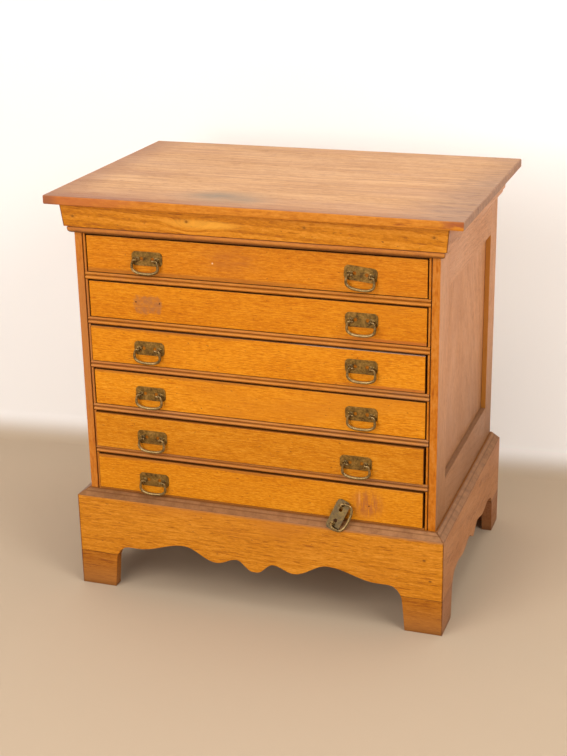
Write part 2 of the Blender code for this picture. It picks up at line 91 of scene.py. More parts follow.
# Handle sizes, all in one handle's own frame: X along the plate, Y into the wood, Z up
PLATE_WIDTH = 0.051
PLATE_HEIGHT = 0.0225
PLATE_THICK = 0.001
PLATE_CORNER = 0.0065
PLATE_EDGE_ROUND = 0.0003
PIERCED_SPACING = 0.019
PIERCED_RADIUS = 0.0031
NAIL_SPACING = 0.040
NAIL_HEAD_RADIUS = 0.0019
NAIL_HEAD_RISE = 0.0009
NAIL_RADIUS = 0.0009
POST_SPACING = 0.032
NECK_RADIUS = 0.0022
COLLAR_RADIUS = 0.0042
COLLAR_RISE = 0.0006
EYE_RADIUS = 0.0036
EYE_OUT = 0.0065
EYE_BELOW_CENTRE = 0.0015
EYE_HOLE_RADIUS = 0.0019
BAIL_BESIDE_POST = 0.0058
BAIL_DROP = 0.0214
BAIL_HOOK = 0.0038
BAIL_SHOULDER = 0.0105
BAIL_SQUARENESS = 0.8
BAIL_PIN_REACH = 0.0038
BAIL_PIN_RADIUS = 0.0015
BAIL_SWELL = 0.0006
BAIL_GRIP_SWELL = 0.00015
EYE_FLARE = 1.1
EYE_FLATNESS = 0.62
# How far each bail has slid sideways in its eyes
BAIL_PLAY = dict(left_1=-0.0018, left_3=-0.0018, left_4=-0.0012, left_5=0.0005, left_6=-0.0005, right_1=0.0018,
                 right_2=0.0006, right_3=0.0017, right_4=0.0012, right_5=0.0018)
LOOSE_HANDLE = "right_6"
LOOSE_BAIL_SWING = -194.0
LOOSE_SHANK = 0.00125
SHANK = 0.004

# Nails in the cornice board: X and height
CORNICE_NAILS = ((-0.2863, 0.6347), (-0.0961, 0.6376), (0.0904, 0.6406), (0.2847, 0.6389))
CORNICE_NAIL_RADIUS = 0.0021
CORNICE_NAIL_RISE = 0.0004

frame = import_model()
BODY_OF = {node: body for body, nodes in frame["record"]["behaviour"]["bodies"].items() for node in nodes}


# Material nodes
class Finish:
    """A material and short ways to add nodes to it. Values are sockets or numbers."""

    def __init__(self, name):
        self.material = bpy.data.materials.new(name)
        self.material.use_nodes = True
        self.tree = self.material.node_tree
        self.shader = self.tree.nodes["Principled BSDF"]
        source = self.tree.nodes.new("ShaderNodeTexCoord")
        self.place = source.outputs["Object"]
        self.facing = source.outputs["Normal"]

    def feed(self, socket, value):
        if isinstance(value, bpy.types.NodeSocket):
            self.tree.links.new(value, socket)
        elif value is not None:
            socket.default_value = value

    def add(self, kind, inputs, output=0, **settings):
        node = self.tree.nodes.new("ShaderNode" + kind)
        for key, value in settings.items():
            setattr(node, key, value)
        for key, value in inputs.items():
            self.feed(node.inputs[key], value)
        return node.outputs[output]

    def math(self, operation, a, b=0.0, clamp=False):
        return self.add("Math", {0: a, 1: b}, operation=operation, use_clamp=clamp)

    def plus(self, *terms):
        total = terms[0]
        for term in terms[1:]:
            total = self.math("ADD", total, term)
        return total

    def times(self, *terms):
        total = terms[0]
        for term in terms[1:]:
            total = self.math("MULTIPLY", total, term)
        return total

    def scaled(self, vector, scale):
        return self.add("VectorMath", {0: vector, 1: scale}, operation="MULTIPLY")

    def shifted(self, vector, shift):
        return self.add("VectorMath", {0: vector, 1: shift}, operation="ADD")

    def length(self, vector):
        return self.add("VectorMath", {0: vector}, output="Value", operation="LENGTH")

    def split(self, vector):
        node = self.tree.nodes.new("ShaderNodeSeparateXYZ")
        self.feed(node.inputs[0], vector)
        return list(node.outputs)

    def join(self, x, y, z):
        return self.add("CombineXYZ", {0: x, 1: y, 2: z})

    def noise(self, vector, scale, detail=2.0, roughness=0.55):
        """Noise stretched by three scales, in features per metre."""
        return self.add("TexNoise", {"Vector": self.scaled(vector, scale), "Scale": 1.0, "Detail": detail,
                                     "Roughness": roughness})

    def smooth(self, value, low, high, start=0.0, end=1.0):
        return self.add("MapRange", {0: value, 1: low, 2: high, 3: start, 4: end},
                        interpolation_type="SMOOTHSTEP")

    def ramp(self, value, stops):
        node = self.tree.nodes.new("ShaderNodeValToRGB")
        marks = node.color_ramp.elements
        while len(marks) < len(stops):
            marks.new(0.5)
        for mark, (place, colour) in zip(marks, stops):
            mark.position = place
            mark.color = (*colour, 1.0)
        self.feed(node.inputs[0], value)
        return node.outputs[0]

    def mix(self, share, first, second, blend="MIX"):
        first, second = (c if isinstance(c, bpy.types.NodeSocket) else (*c, 1.0) for c in (first, second))
        return self.add("Mix", {0: share, 6: first, 7: second}, output=2, data_type="RGBA", blend_type=blend)

    def bump(self, height, distance, strength):
        node = self.tree.nodes.new("ShaderNodeBump")
        node.inputs["Strength"].default_value = strength
        node.inputs["Distance"].default_value = distance
        self.feed(node.inputs["Height"], height)
        self.tree.links.new(node.outputs[0], self.shader.inputs["Normal"])

    def spot(self, centre, reach, blur=0.4):
        """1 inside an ellipsoid round a place, 0 outside, with a soft edge."""
        offset = self.shifted(self.place, tuple(-c for c in centre))
        distance = self.length(self.scaled(offset, tuple(1/r for r in reach)))
        return self.smooth(distance, 1.0 - blur, 1.0, 1.0, 0.0)

    def from_edge(self, low, high):
        """Distance from a point on a box's surface to the nearest edge of the box."""
        gaps = []
        for value, bottom, top in zip(self.split(self.place), low, high):
            gaps.append(self.math("MINIMUM", self.math("SUBTRACT", value, bottom),
                                  self.math("SUBTRACT", top, value)))
        a, b, c = gaps
        return self.math("MAXIMUM", self.math("MINIMUM", a, b),
                         self.math("MINIMUM", self.math("MAXIMUM", a, b), c))


# Oak
HONEY = dict(light=(0.74, 0.265, 0.014), middle=(0.595, 0.176, 0.0020), dark=(0.42, 0.100, 0.0008),
             tint=(0.54, 0.162, 0.007), grime=(0.15, 0.040, 0.008))
PLINTH_HONEY = dict(light=(0.71, 0.270, 0.022), middle=(0.55, 0.180, 0.003), dark=(0.33, 0.088, 0.0015),
                    tint=(0.52, 0.168, 0.014), grime=(0.11, 0.030, 0.008))
BEAD_OAK = dict(light=(0.68, 0.250, 0.032), middle=(0.50, 0.158, 0.008), dark=(0.30, 0.078, 0.004),
                tint=(0.47, 0.155, 0.024), grime=(0.10, 0.030, 0.008))
# The side, low side and top tones are the honey oak with a painted whitish pink sheen; the low side's tone is also
# darker, as painted shade.
SHEENED_SIDE_OAK = dict(light=(0.74, 0.345, 0.155), middle=(0.59, 0.258, 0.104), dark=(0.40, 0.155, 0.057),
                tint=(0.61, 0.278, 0.130), grime=(0.18, 0.070, 0.030))
SHADED_LOW_SIDE_OAK = dict(light=(0.53, 0.225, 0.085), middle=(0.41, 0.160, 0.052), dark=(0.26, 0.087, 0.026),
                    tint=(0.44, 0.180, 0.075), grime=(0.12, 0.045, 0.02))
SHEENED_TOP_OAK = dict(light=(0.63, 0.355, 0.172), middle=(0.475, 0.243, 0.101), dark=(0.27, 0.115, 0.044),
               tint=(0.50, 0.255, 0.130), grime=(0.17, 0.075, 0.03))
RAW_WOOD = dict(light=(0.62, 0.43, 0.24), middle=(0.52, 0.34, 0.175), dark=(0.36, 0.21, 0.10),
                tint=(0.55, 0.39, 0.23), grime=(0.25, 0.16, 0.09))
# Pinkish grey of a painted sheen on upward faces
PINK_SHEEN = (0.27, 0.128, 0.058)
# Near black brown: painted shade in the gaps, grooves and creases of the front, and the dark of dents and joints
GAP_SHADE_AND_DIRT = (0.120, 0.036, 0.005)
# Brown: painted shade on faces in and beside the gaps of the front, and darker bands and edges on some boards
BROWN_SHADE_AND_DIRT = (0.36, 0.115, 0.014)
DULL_PINK = (0.44, 0.142, 0.030)
WORN_GREY = (0.31, 0.165, 0.094)
CASE_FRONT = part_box("top_rail")[0].y
# Dark dents in the right end of the plinth front: X and height
PLINTH_DENTS = ((0.2794, 0.1274), (0.2895, 0.0927))
# How much lighter or darker each drawer front is than plain honey oak, in red, green and blue
FRONT_SHADES = ((0.945, 0.94, 0.9), (0.955, 0.96, 0.65), (1.025, 1.07, 0.85), (1.05, 1.14, 1.2),
                (0.905, 0.98, 1.2), (0.975, 1.055, 1.0))


class Oak(Finish):
    """Oak with growth rings, streaks, pores and wear. along and face are the grain and the show side's normal."""

    def __init__(self, name, tones, along, face, seed, pith=(0.03, 0.10), slope=0.0, spacing=0.0045,
                 rings=0.10, streaks=1.7, dashes=0.20, flecks=0.0, wander=0.010, coarse=1.0, clouds=0.65,
                 haze=0.7, box=None, worn=0.0022, oval=None):
        super().__init__(name)
        self.tones = tones
        across = ({"x", "y", "z"} - {along, face}).pop()
        xyz = dict(zip("xyz", self.split(self.place)))
        self.grain = self.shifted(self.join(xyz[along], xyz[across], xyz[face]),
                                  (0.37*seed, 0.0, 0.0))
        a, b, c = self.split(self.grain)
        drift = self.noise(self.grain, (2.6, 9.0, 9.0), 2.0)
        ripple = self.noise(self.grain, (20.0, 70.0, 70.0), 2.0)
        b = self.plus(b, self.times(self.math("SUBTRACT", drift, 0.5), wander),
                      self.times(self.math("SUBTRACT", ripple, 0.5), wander*0.15))
        depth = self.plus(c, self.times(a, slope), pith[1])
        if oval:
            depth = self.plus(depth, self.times(oval[2], self.spot(oval[0], oval[1], 1.0)))
        radius = self.length(self.join(self.plus(b, pith[0]), depth, 0.0))
        uneven = self.noise(self.join(radius, seed*1.7, 0.0), (120.0, 1.0, 1.0), 1.0)
        turn = self.math("FRACT", self.plus(self.times(radius, 1/spacing), self.times(uneven, 1.6)))
        porous = self.math("MAXIMUM", self.smooth(turn, 0.05, 0.55, 1.0, 0.0), self.smooth(turn, 0.90, 1.0))
        flow = self.join(a, self.times(radius if oval else b, 1.0), c)
        streak = self.noise(flow, (16.0, 320.0/coarse, 90.0), 4.0, 0.68)
        fleck = self.noise(flow, (110.0/coarse, 640.0/coarse, 220.0), 3.0, 0.75)
        fine = self.noise(flow, (45.0, 950.0/coarse, 300.0), 2.0, 0.6)
        dash = self.noise(flow, (34.0, 480.0/coarse, 160.0), 2.0, 0.5)
        self.pores = self.times(self.smooth(fine, 0.50, 0.66), self.plus(0.45, self.times(porous, 0.55)))
        self.blotch = self.noise(self.grain, (5.0, 13.0, 13.0), 3.0)
        self.darkness = self.plus(0.40, self.times(self.math("SUBTRACT", porous, 0.4), rings),
                                  self.times(self.math("SUBTRACT", streak, 0.5), streaks),
                                  self.times(self.math("SUBTRACT", fleck, 0.5), flecks),
                                  self.times(self.pores, 0.25),
                                  self.times(self.smooth(dash, 0.58, 0.72), dashes*2.0),
                                  self.times(self.math("SUBTRACT", self.blotch, 0.5), clouds))
        self.colour = self.ramp(self.darkness, ((0.05, tones["light"]), (0.50, tones["middle"]),
                                                (1.0, tones["dark"])))
        drab = self.noise(self.grain, (3.3, 7.0, 7.0), 3.0)
        self.colour = self.mix(self.times(self.smooth(drab, 0.50, 0.72), haze), self.colour, tones["tint"])
        nick = self.noise(self.grain, (150.0, 380.0, 380.0), 1.0)
        self.nicks = self.smooth(nick, 0.725, 0.77)
        self.colour = self.mix(self.times(self.nicks, 0.6), self.colour, tones["grime"])
        if box:
            ragged = self.noise(self.grain, (60.0, 160.0, 160.0), 3.0)
            limit = self.times(ragged, worn*2)
            edge = self.math("DIVIDE", self.from_edge(*box), limit)
            self.colour = self.mix(self.smooth(edge, 0.3, 1.0, 0.62, 0.0), self.colour, tones["grime"])

    def tinted(self, share, colour):
        self.colour = self.mix(share, self.colour, colour)

    def darkened(self, share, colour=(0.35, 0.30, 0.28)):
        self.colour = self.mix(share, self.colour, colour, "MULTIPLY")

    def shade_the_gaps(self, reach=0.007):
        """Painted shade: dark in the gaps of the front, as far back as one can look, and brown with some dirt on
        turned-away faces that stand before them.
        """
        y = self.split(self.place)[1]
        turned_away = self.smooth(self.split(self.facing)[1], -0.85, -0.45)
        proud = self.smooth(y, CASE_FRONT - 0.0012, CASE_FRONT - 0.0004, 1.0, 0.0)
        near = self.smooth(y, CASE_FRONT + reach, CASE_FRONT + reach*1.6, 1.0, 0.0)
        self.tinted(self.times(turned_away, near, 0.9), GAP_SHADE_AND_DIRT)
        self.tinted(self.times(turned_away, proud), BROWN_SHADE_AND_DIRT)

    def dirty_corner(self, box):
        """A dark line where the board meets the side boards in a mitre."""
        x, y, _ = self.split(self.place)
        gap = self.math("SUBTRACT", box[1].x + box[0].y, self.plus(self.math("ABSOLUTE", x), y))
        self.shade_and_joint_line(gap, 0.0, 0.0016, 0.8)

    def shade_and_joint_line(self, value, middle, half, share, colour=GAP_SHADE_AND_DIRT):
        """A ragged dark line where a coordinate crosses a value. Along the gaps of fronts and rails it is painted
        shade; at a mitre it is a dark joint.
        """
        ragged = self.noise(self.place, (70.0, 70.0, 260.0), 3.0, 0.65)
        distance = self.math("ABSOLUTE", self.math("SUBTRACT", value, middle))
        edge = self.times(ragged, half*2)
        self.tinted(self.times(self.smooth(self.math("DIVIDE", distance, edge), 0.5, 1.4, 1.0, 0.0), share),
                    colour)

    def done(self, gloss=0.42, specular=0.30):
        """Feeds the shader and gives back the material."""
        rough = self.plus(gloss, self.times(self.math("SUBTRACT", self.blotch, 0.5), 0.30),
                          self.times(self.pores, 0.10), self.times(self.nicks, 0.2))
        self.feed(self.shader.inputs["Base Color"], self.colour)
        self.feed(self.shader.inputs["Roughness"], rough)
        self.shader.inputs["Specular IOR Level"].default_value = specular
        height = self.math("SUBTRACT", 1.0, self.plus(self.times(self.pores, 0.6), self.times(self.nicks, 1.2),
                                                      self.times(self.darkness, 0.35)))
        self.bump(height, 0.00035, 0.45)
        return self.material


def box_of(node):
    low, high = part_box(node)
    return tuple(low), tuple(high)


# Modelling helpers
def only(piece):
    """Selects one piece alone."""
    bpy.ops.object.select_all(action="DESELECT")
    piece.select_set(True)
    bpy.context.view_layer.objects.active = piece


def newest(name):
    piece = bpy.context.active_object
    piece.name = name
    piece.data.name = name
    return piece


def edges_picked(piece, wanted):
    """Goes into edit mode with only the edges selected whose two ends pass the test."""
    only(piece)
    bpy.ops.object.mode_set(mode="EDIT")
    bpy.ops.mesh.select_mode(type="EDGE")
    bpy.ops.mesh.select_all(action="DESELECT")
    bpy.ops.object.mode_set(mode="OBJECT")
    for edge in piece.data.edges:
        edge.select = wanted(*(piece.data.vertices[i].co for i in edge.vertices))
    bpy.ops.object.mode_set(mode="EDIT")


def points_picked(piece, wanted):
    """Goes into edit mode with only the points selected that pass the test."""
    only(piece)
    bpy.ops.object.mode_set(mode="EDIT")
    bpy.ops.mesh.select_mode(type="VERT")
    bpy.ops.mesh.select_all(action="DESELECT")
    bpy.ops.object.mode_set(mode="OBJECT")
    for point in piece.data.vertices:
        point.select = wanted(point.co)
    bpy.ops.object.mode_set(mode="EDIT")


def settled(piece):
    """Puts the piece's place, turn and scale into its mesh."""
    only(piece)
    bpy.ops.object.transform_apply(location=True, rotation=True, scale=True)
    return piece


def tidied(piece):
    """Merges doubles and points all faces outwards."""
    only(piece)
    bpy.ops.object.mode_set(mode="EDIT")
    bpy.ops.mesh.select_all(action="SELECT")
    bpy.ops.mesh.remove_doubles(threshold=0.000005)
    bpy.ops.mesh.normals_make_consistent(inside=False)
    bpy.ops.object.mode_set(mode="OBJECT")
    return piece


def applied(piece, kind, **settings):
    only(piece)
    modifier = piece.modifiers.new(kind.lower(), kind)
    for key, value in settings.items():
        setattr(modifier, key, value)
    bpy.ops.object.modifier_apply(modifier=modifier.name)
    return piece


def rounded(piece, width, segments=2, angle=30.0):
    return applied(piece, "BEVEL", width=width, segments=segments, limit_method="ANGLE",
                   angle_limit=math.radians(angle))


def combined(piece, others, operation):
    for other in others:
        applied(piece, "BOOLEAN", object=other, operation=operation, solver="EXACT")
        bpy.data.objects.remove(other)
    return piece


def smoothed(piece, angle=35.0):
    """Smooth shading that leaves wide flat faces flat."""
    only(piece)
    bpy.ops.object.shade_smooth_by_angle(angle=math.radians(angle))
    return applied(piece, "WEIGHTED_NORMAL", keep_sharp=True)


def painted(piece, *materials):
    """Gives the piece its materials. Its faces keep the numbers of the ones they have."""
    numbers = [face.material_index for face in piece.data.polygons]
    piece.data.materials.clear()
    for material in materials:
        piece.data.materials.append(material)
    for face, number in zip(piece.data.polygons, numbers):
        face.material_index = min(number, len(materials) - 1)
    return piece


def copied(piece, name, place):
    """A copy with its own mesh, moved by a matrix."""
    twin = piece.copy()
    twin.data = piece.data.copy()
    twin.name = twin.data.name = name
    bpy.context.scene.collection.objects.link(twin)
    twin.data.transform(place)
    return twin


def dressed(node, material, edge=0.0005):
    """A copy of a wooden node with its sharp edges softened, shown in the node's place."""
    piece = copied(frame["nodes"][node], node + "_wood", Matrix())
    piece.parent = None
    piece.matrix_world = Matrix()
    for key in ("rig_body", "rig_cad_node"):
        if key in piece:
            del piece[key]
    tidied(piece)
    only(piece)
    bpy.ops.object.mode_set(mode="EDIT")
    bpy.ops.mesh.select_all(action="SELECT")
    bpy.ops.mesh.dissolve_limited(angle_limit=math.radians(0.5))
    bpy.ops.object.mode_set(mode="OBJECT")
    rounded(piece, edge)
    smoothed(painted(piece, material))
    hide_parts(node)
    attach(piece, BODY_OF[node])
    return piece


# Oak of each board
def drawer_front_oak(number):
    """Straight grain. Each front comes from another plank, and some have a brown band along their top edges."""
    pith, slope, streaks = (((0.02, 0.09), 0.06, 0.35), ((0.05, 0.16), -0.03, 0.5), ((0.01, 0.12), 0.04, 0.5),
                            ((-0.03, 0.10), -0.07, 0.6), ((0.06, 0.14), 0.02, 0.5),
                            ((0.0, 0.11), 0.05, 0.5))[number - 1]
    node = f"drawer_front_{number}"
    oak = Oak(node + "_oak", HONEY, "x", "y", number, pith, slope, 0.0035, rings=0.05, streaks=streaks,
              dashes=0.12, flecks=2.0, wander=0.005)
    oak.darkened(1.0, FRONT_SHADES[number - 1])
    low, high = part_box(node)
    x, _, z = oak.split(oak.place)
    ragged = oak.noise(oak.place, (30.0, 30.0, 160.0), 3.0, 0.6)
    browned = {3: (-0.05, 0.6), 4: (-0.02, 0.6), 6: (0.0, 0.7)}.get(number)
    if browned:
        reach, share = browned
        height = oak.plus(z, oak.times(oak.math("SUBTRACT", ragged, 0.5), 0.006))
        band = oak.times(oak.smooth(height, high.z - 0.0055, high.z - 0.0025), share)
        oak.tinted(oak.times(band, oak.smooth(x, reach, reach + 0.06, 1.0, 0.15)), BROWN_SHADE_AND_DIRT)
    for side in ("left", "right"):
        plate = f"handle_plate_{side}_{number}"
        if plate in BODY_OF:
            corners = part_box(plate)
            middle = (corners[0] + corners[1])/2
            # Painted shade under and round each plate, in its pierced holes and beside it.
            under = oak.spot((middle.x, CASE_FRONT, middle.z), (0.019, 0.02, 0.0085), 0.3)
            oak.darkened(oak.times(under, 0.8), (0.50, 0.46, 0.70))
    if number in (2, 3):
        foot = oak.smooth(z, low.z + 0.003, low.z + 0.007, 0.7, 0.0)
        oak.tinted(oak.times(foot, oak.smooth(x, 0.10, 0.20)), (0.38, 0.105, 0.022))
    if number == 1:
        wide = oak.spot((-0.035, -0.2, 0.575), (0.075, 0.03, 0.040), 1.0)
        oak.tinted(oak.times(wide, oak.smooth(ragged, 0.35, 0.65, 0.25, 0.75)), (0.42, 0.122, 0.015))
        oak.tinted(oak.spot((-0.0624, CASE_FRONT, 0.5711), (0.0016, 0.004, 0.0016)), (0.80, 0.52, 0.30))
        foot = oak.smooth(z, low.z + 0.004, low.z + 0.009, 0.7, 0.0)
        oak.tinted(oak.times(foot, oak.smooth(x, 0.03, 0.12, 1.0, 0.2)), BROWN_SHADE_AND_DIRT)
    if number == 2:
        ghost_of_lost_handle(oak)
    if number == 4:
        oak.tinted(oak.spot((0.1473, CASE_FRONT, 0.3174), (0.0016, 0.004, 0.0032)), (0.86, 0.44, 0.14))
    if number == 6:
        smears = oak.noise(oak.place, (200.0, 200.0, 45.0), 4.0, 0.7)
        mark = oak.spot((0.184, -0.2, 0.204), (0.034, 0.03, 0.036), 0.8)
        oak.tinted(oak.times(mark, oak.smooth(smears, 0.4, 0.6, 0.25, 0.9)), (0.38, 0.115, 0.026))
        oak.tinted(oak.times(oak.spot((0.171, -0.2, 0.212), (0.0024, 0.01, 0.016), 0.8), 0.35), (0.80, 0.36, 0.13))
    # Painted shade: dark lines along the gaps round the front, and dark in the gaps.
    oak.shade_and_joint_line(z, high.z, 0.0006, 0.6)
    oak.shade_and_joint_line(z, low.z, 0.0004, 0.25)
    oak.shade_and_joint_line(x, high.x, 0.0006, 0.7)
    oak.shade_and_joint_line(x, low.x, 0.0004, 0.4)
    oak.shade_the_gaps()
    if number == 3:
        dusty = oak.times(oak.smooth(oak.split(oak.facing)[2], 0.4, 0.8), oak.smooth(x, 0.05, 0.11, 0.1, 0.85))
        oak.tinted(oak.times(dusty, oak.smooth(oak.split(oak.place)[1], CASE_FRONT, CASE_FRONT + 0.002, 1.0, 0.3)),
                   (0.44, 0.31, 0.24))
    return oak.done(specular=0.13)


def ghost_of_lost_handle(oak):
    """Dull mottled patch where the lost plate kept the light and the varnish off."""
    centre, half, corner = (-0.1738, 0.4958), (0.0150, 0.0048), 0.0105
    x, _, z = oak.split(oak.place)
    beyond = [oak.math("MAXIMUM", oak.math("SUBTRACT", oak.math("ABSOLUTE", oak.math("SUBTRACT", value, middle)),
                                           reach), 0.0)
              for value, middle, reach in ((x, centre[0], half[0]), (z, centre[1], half[1]))]
    mottle = oak.noise(oak.place, (130.0, 130.0, 170.0), 4.0, 0.7)
    distance = oak.plus(oak.length(oak.join(beyond[0], beyond[1], 0.0)),
                        oak.times(oak.math("SUBTRACT", mottle, 0.5), 0.014))
    patch = oak.smooth(distance, corner - 0.0055, corner + 0.0015, 1.0, 0.0)
    oak.tinted(oak.times(patch, oak.smooth(mottle, 0.35, 0.65, 0.9, 0.4)), (0.36, 0.130, 0.036))


def top_board_oak():
    """Pale and greyed on top with a painted sheen, with a dirty pinkish rim and a water stain; honey on its edges, as
    painted light.
    """
    oak = Oak("top_board_oak", SHEENED_TOP_OAK, "x", "z", 11.0, (0.05, 0.13), 0.02, 0.005, rings=0.03, streaks=0.5,
              dashes=0.15, flecks=1.2, wander=0.003, coarse=1.3, clouds=0.20, haze=0.3, box=box_of("top_board"),
              worn=0.003)
    wavy = oak.noise(oak.place, (14.0, 22.0, 20.0), 4.0, 0.65)
    fibres = oak.noise(oak.place, (13.0, 150.0, 60.0), 4.0, 0.72)
    bands = oak.noise(oak.place, (1.6, 24.0, 10.0), 3.0, 0.6)
    ragged = oak.plus(oak.times(wavy, 0.6), oak.times(fibres, 0.4))
    oak.tinted(oak.smooth(bands, 0.50, 0.66, 0.0, 0.55), (0.41, 0.200, 0.092))
    oak.tinted(oak.smooth(bands, 0.34, 0.46, 0.45, 0.0), SHEENED_TOP_OAK["light"])
    oak.tinted(oak.smooth(fibres, 0.55, 0.66, 0.0, 0.35), (0.33, 0.145, 0.070))
    lines = oak.noise(oak.place, (6.0, 125.0, 60.0), 2.0, 0.5)
    short = oak.noise(oak.place, (30.0, 120.0, 60.0), 2.0, 0.5)
    oak.tinted(oak.smooth(lines, 0.57, 0.62, 0.0, 0.42), (0.31, 0.140, 0.066))
    oak.tinted(oak.smooth(lines, 0.38, 0.43, 0.35, 0.0), (0.66, 0.385, 0.190))
    oak.tinted(oak.smooth(short, 0.66, 0.70, 0.0, 0.55), (0.27, 0.110, 0.050))
    low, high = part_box("top_board")
    x, y, _ = oak.split(oak.place)
    front = oak.plus(oak.math("SUBTRACT", y, low.y), oak.times(ragged, 0.09))
    fade = oak.smooth(x, low.x + 0.05, low.x + 0.45, 1.0, 0.65)
    rim = oak.plus(oak.smooth(front, 0.055, 0.080, 0.42, 0.0), oak.smooth(front, 0.060, 0.140, 0.45, 0.0))
    oak.tinted(oak.times(rim, fade, oak.smooth(fibres, 0.38, 0.55, 0.75, 1.0)), (0.29, 0.115, 0.060))
    left = oak.plus(oak.math("SUBTRACT", x, low.x), oak.times(ragged, 0.09))
    oak.tinted(oak.times(oak.smooth(left, 0.045, 0.120, 0.85, 0.0), oak.smooth(fibres, 0.40, 0.60, 0.6, 1.0)),
               (0.29, 0.130, 0.068))
    back = oak.smooth(y, low.y + 0.08, high.y, 0.0, 0.06)
    right = oak.plus(oak.math("SUBTRACT", high.x, x), oak.times(ragged, 0.12), back)
    oak.tinted(oak.times(oak.smooth(right, 0.07, 0.19, 0.95, 0.0), oak.smooth(lines, 0.38, 0.56, 0.65, 1.0)),
               WORN_GREY)
    worn_dashes = oak.times(oak.smooth(short, 0.56, 0.62), oak.smooth(right, 0.09, 0.20, 0.4, 0.0))
    oak.tinted(worn_dashes, (0.17, 0.085, 0.048))
    grey = oak.spot((-0.050, -0.168, 0.667), (0.110, 0.062, 0.1), 0.9)
    oak.tinted(oak.times(grey, oak.smooth(fibres, 0.32, 0.58, 0.25, 1.0), 0.8), (0.335, 0.220, 0.132))
    stain = oak.math("MAXIMUM", oak.spot((-0.062, -0.160, 0.667), (0.062, 0.036, 0.1), 0.9),
                     oak.times(oak.spot((-0.020, -0.180, 0.667), (0.045, 0.024, 0.1), 0.9), 0.8))
    streaky = oak.times(oak.smooth(ragged, 0.36, 0.54, 0.45, 1.0), oak.smooth(lines, 0.40, 0.56, 0.45, 0.95))
    oak.tinted(oak.times(stain, streaky, 0.8), (0.200, 0.148, 0.100))
    # Painted light: faces that don't look up miss the top's painted sheen and take the honey of the lit front.
    edges = oak.smooth(oak.split(oak.facing)[2], 0.2, 0.7, 1.0, 0.0)
    honey = oak.ramp(oak.darkness, ((0.05, PLINTH_HONEY["light"]), (0.5, PLINTH_HONEY["middle"]),
                                    (1.0, PLINTH_HONEY["dark"])))
    oak.tinted(edges, honey)
    reddish = oak.smooth(oak.plus(x, oak.times(oak.math("SUBTRACT", fibres, 0.5), 0.3)), low.x, low.x + 0.24,
                         0.8, 0.15)
    oak.tinted(oak.times(edges, reddish), (0.42, 0.110, 0.030))
    corner = oak.plus(oak.math("SUBTRACT", x, low.x), oak.times(ragged, 0.03))
    oak.tinted(oak.times(edges, oak.smooth(corner, 0.022, 0.048, 0.75, 0.0)), (0.26, 0.085, 0.036))
    oak.tinted(oak.times(edges, oak.smooth(x, high.x - 0.05, high.x - 0.01), oak.smooth(fibres, 0.45, 0.55)),
               (0.34, 0.085, 0.020))
    ends = oak.smooth(oak.math("ABSOLUTE", oak.split(oak.facing)[0]), 0.3, 0.8)
    oak.tinted(ends, oak.ramp(fibres, ((0.35, (0.48, 0.25, 0.135)), (0.65, (0.27, 0.125, 0.066)))))
    return oak.done(gloss=0.5, specular=0.2)


def cornice_oak(name, tones, along, face, seed):
    oval = ((-0.090, -0.213, 0.630), (0.060, 0.05, 0.016), 0.010) if name == "cornice_front_oak" else None
    oak = Oak(name, tones, along, face, seed, (-0.56, 0.17), 0.030, 0.0085, rings=0.30, streaks=0.45,
              flecks=1.3, wander=0.016, oval=oval)
    if oval:
        figure = oak.spot((-0.070, CASE_FRONT - 0.008, 0.6350), (0.082, 0.02, 0.0100), 0.6)
        oak.tinted(oak.times(figure, 0.65), (0.84, 0.38, 0.042))
        for x, z in CORNICE_NAILS:
            halo = oak.spot((x, CASE_FRONT - 0.008, z), (0.0075, 0.02, 0.0048), 0.9)
            oak.tinted(oak.times(halo, 0.6), (0.26, 0.080, 0.010))
        oak.dirty_corner(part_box("cornice_front"))
        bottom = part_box("cornice_front")[0].z
        height = oak.split(oak.place)[2]
        # Painted highlight: a pale line along the round of the strip.
        oak.tinted(oak.smooth(height, bottom + 0.0100, bottom + 0.0108, 0.5, 0.0), (0.52, 0.185, 0.052))
        # Painted shade on the lower round of the strip.
        oak.darkened(oak.smooth(height, bottom + 0.0010, bottom + 0.0068, 1.0, 0.0), (0.36, 0.38, 0.45))
    # Painted sheen: upward faces are tinted pinkish grey.
    ledge = oak.smooth(oak.split(oak.facing)[2], 0.3, 0.7)
    oak.tinted(oak.times(ledge, 0.5), PINK_SHEEN)
    if name == "top_rail_oak":
        # Painted shade: the top rail, seen only in the gap above the top drawer, is darkened all over, with shade in
        # its gaps.
        oak.darkened(1.0, (0.35, 0.30, 0.28))
        oak.shade_the_gaps()
    return oak.done(specular=0.22)


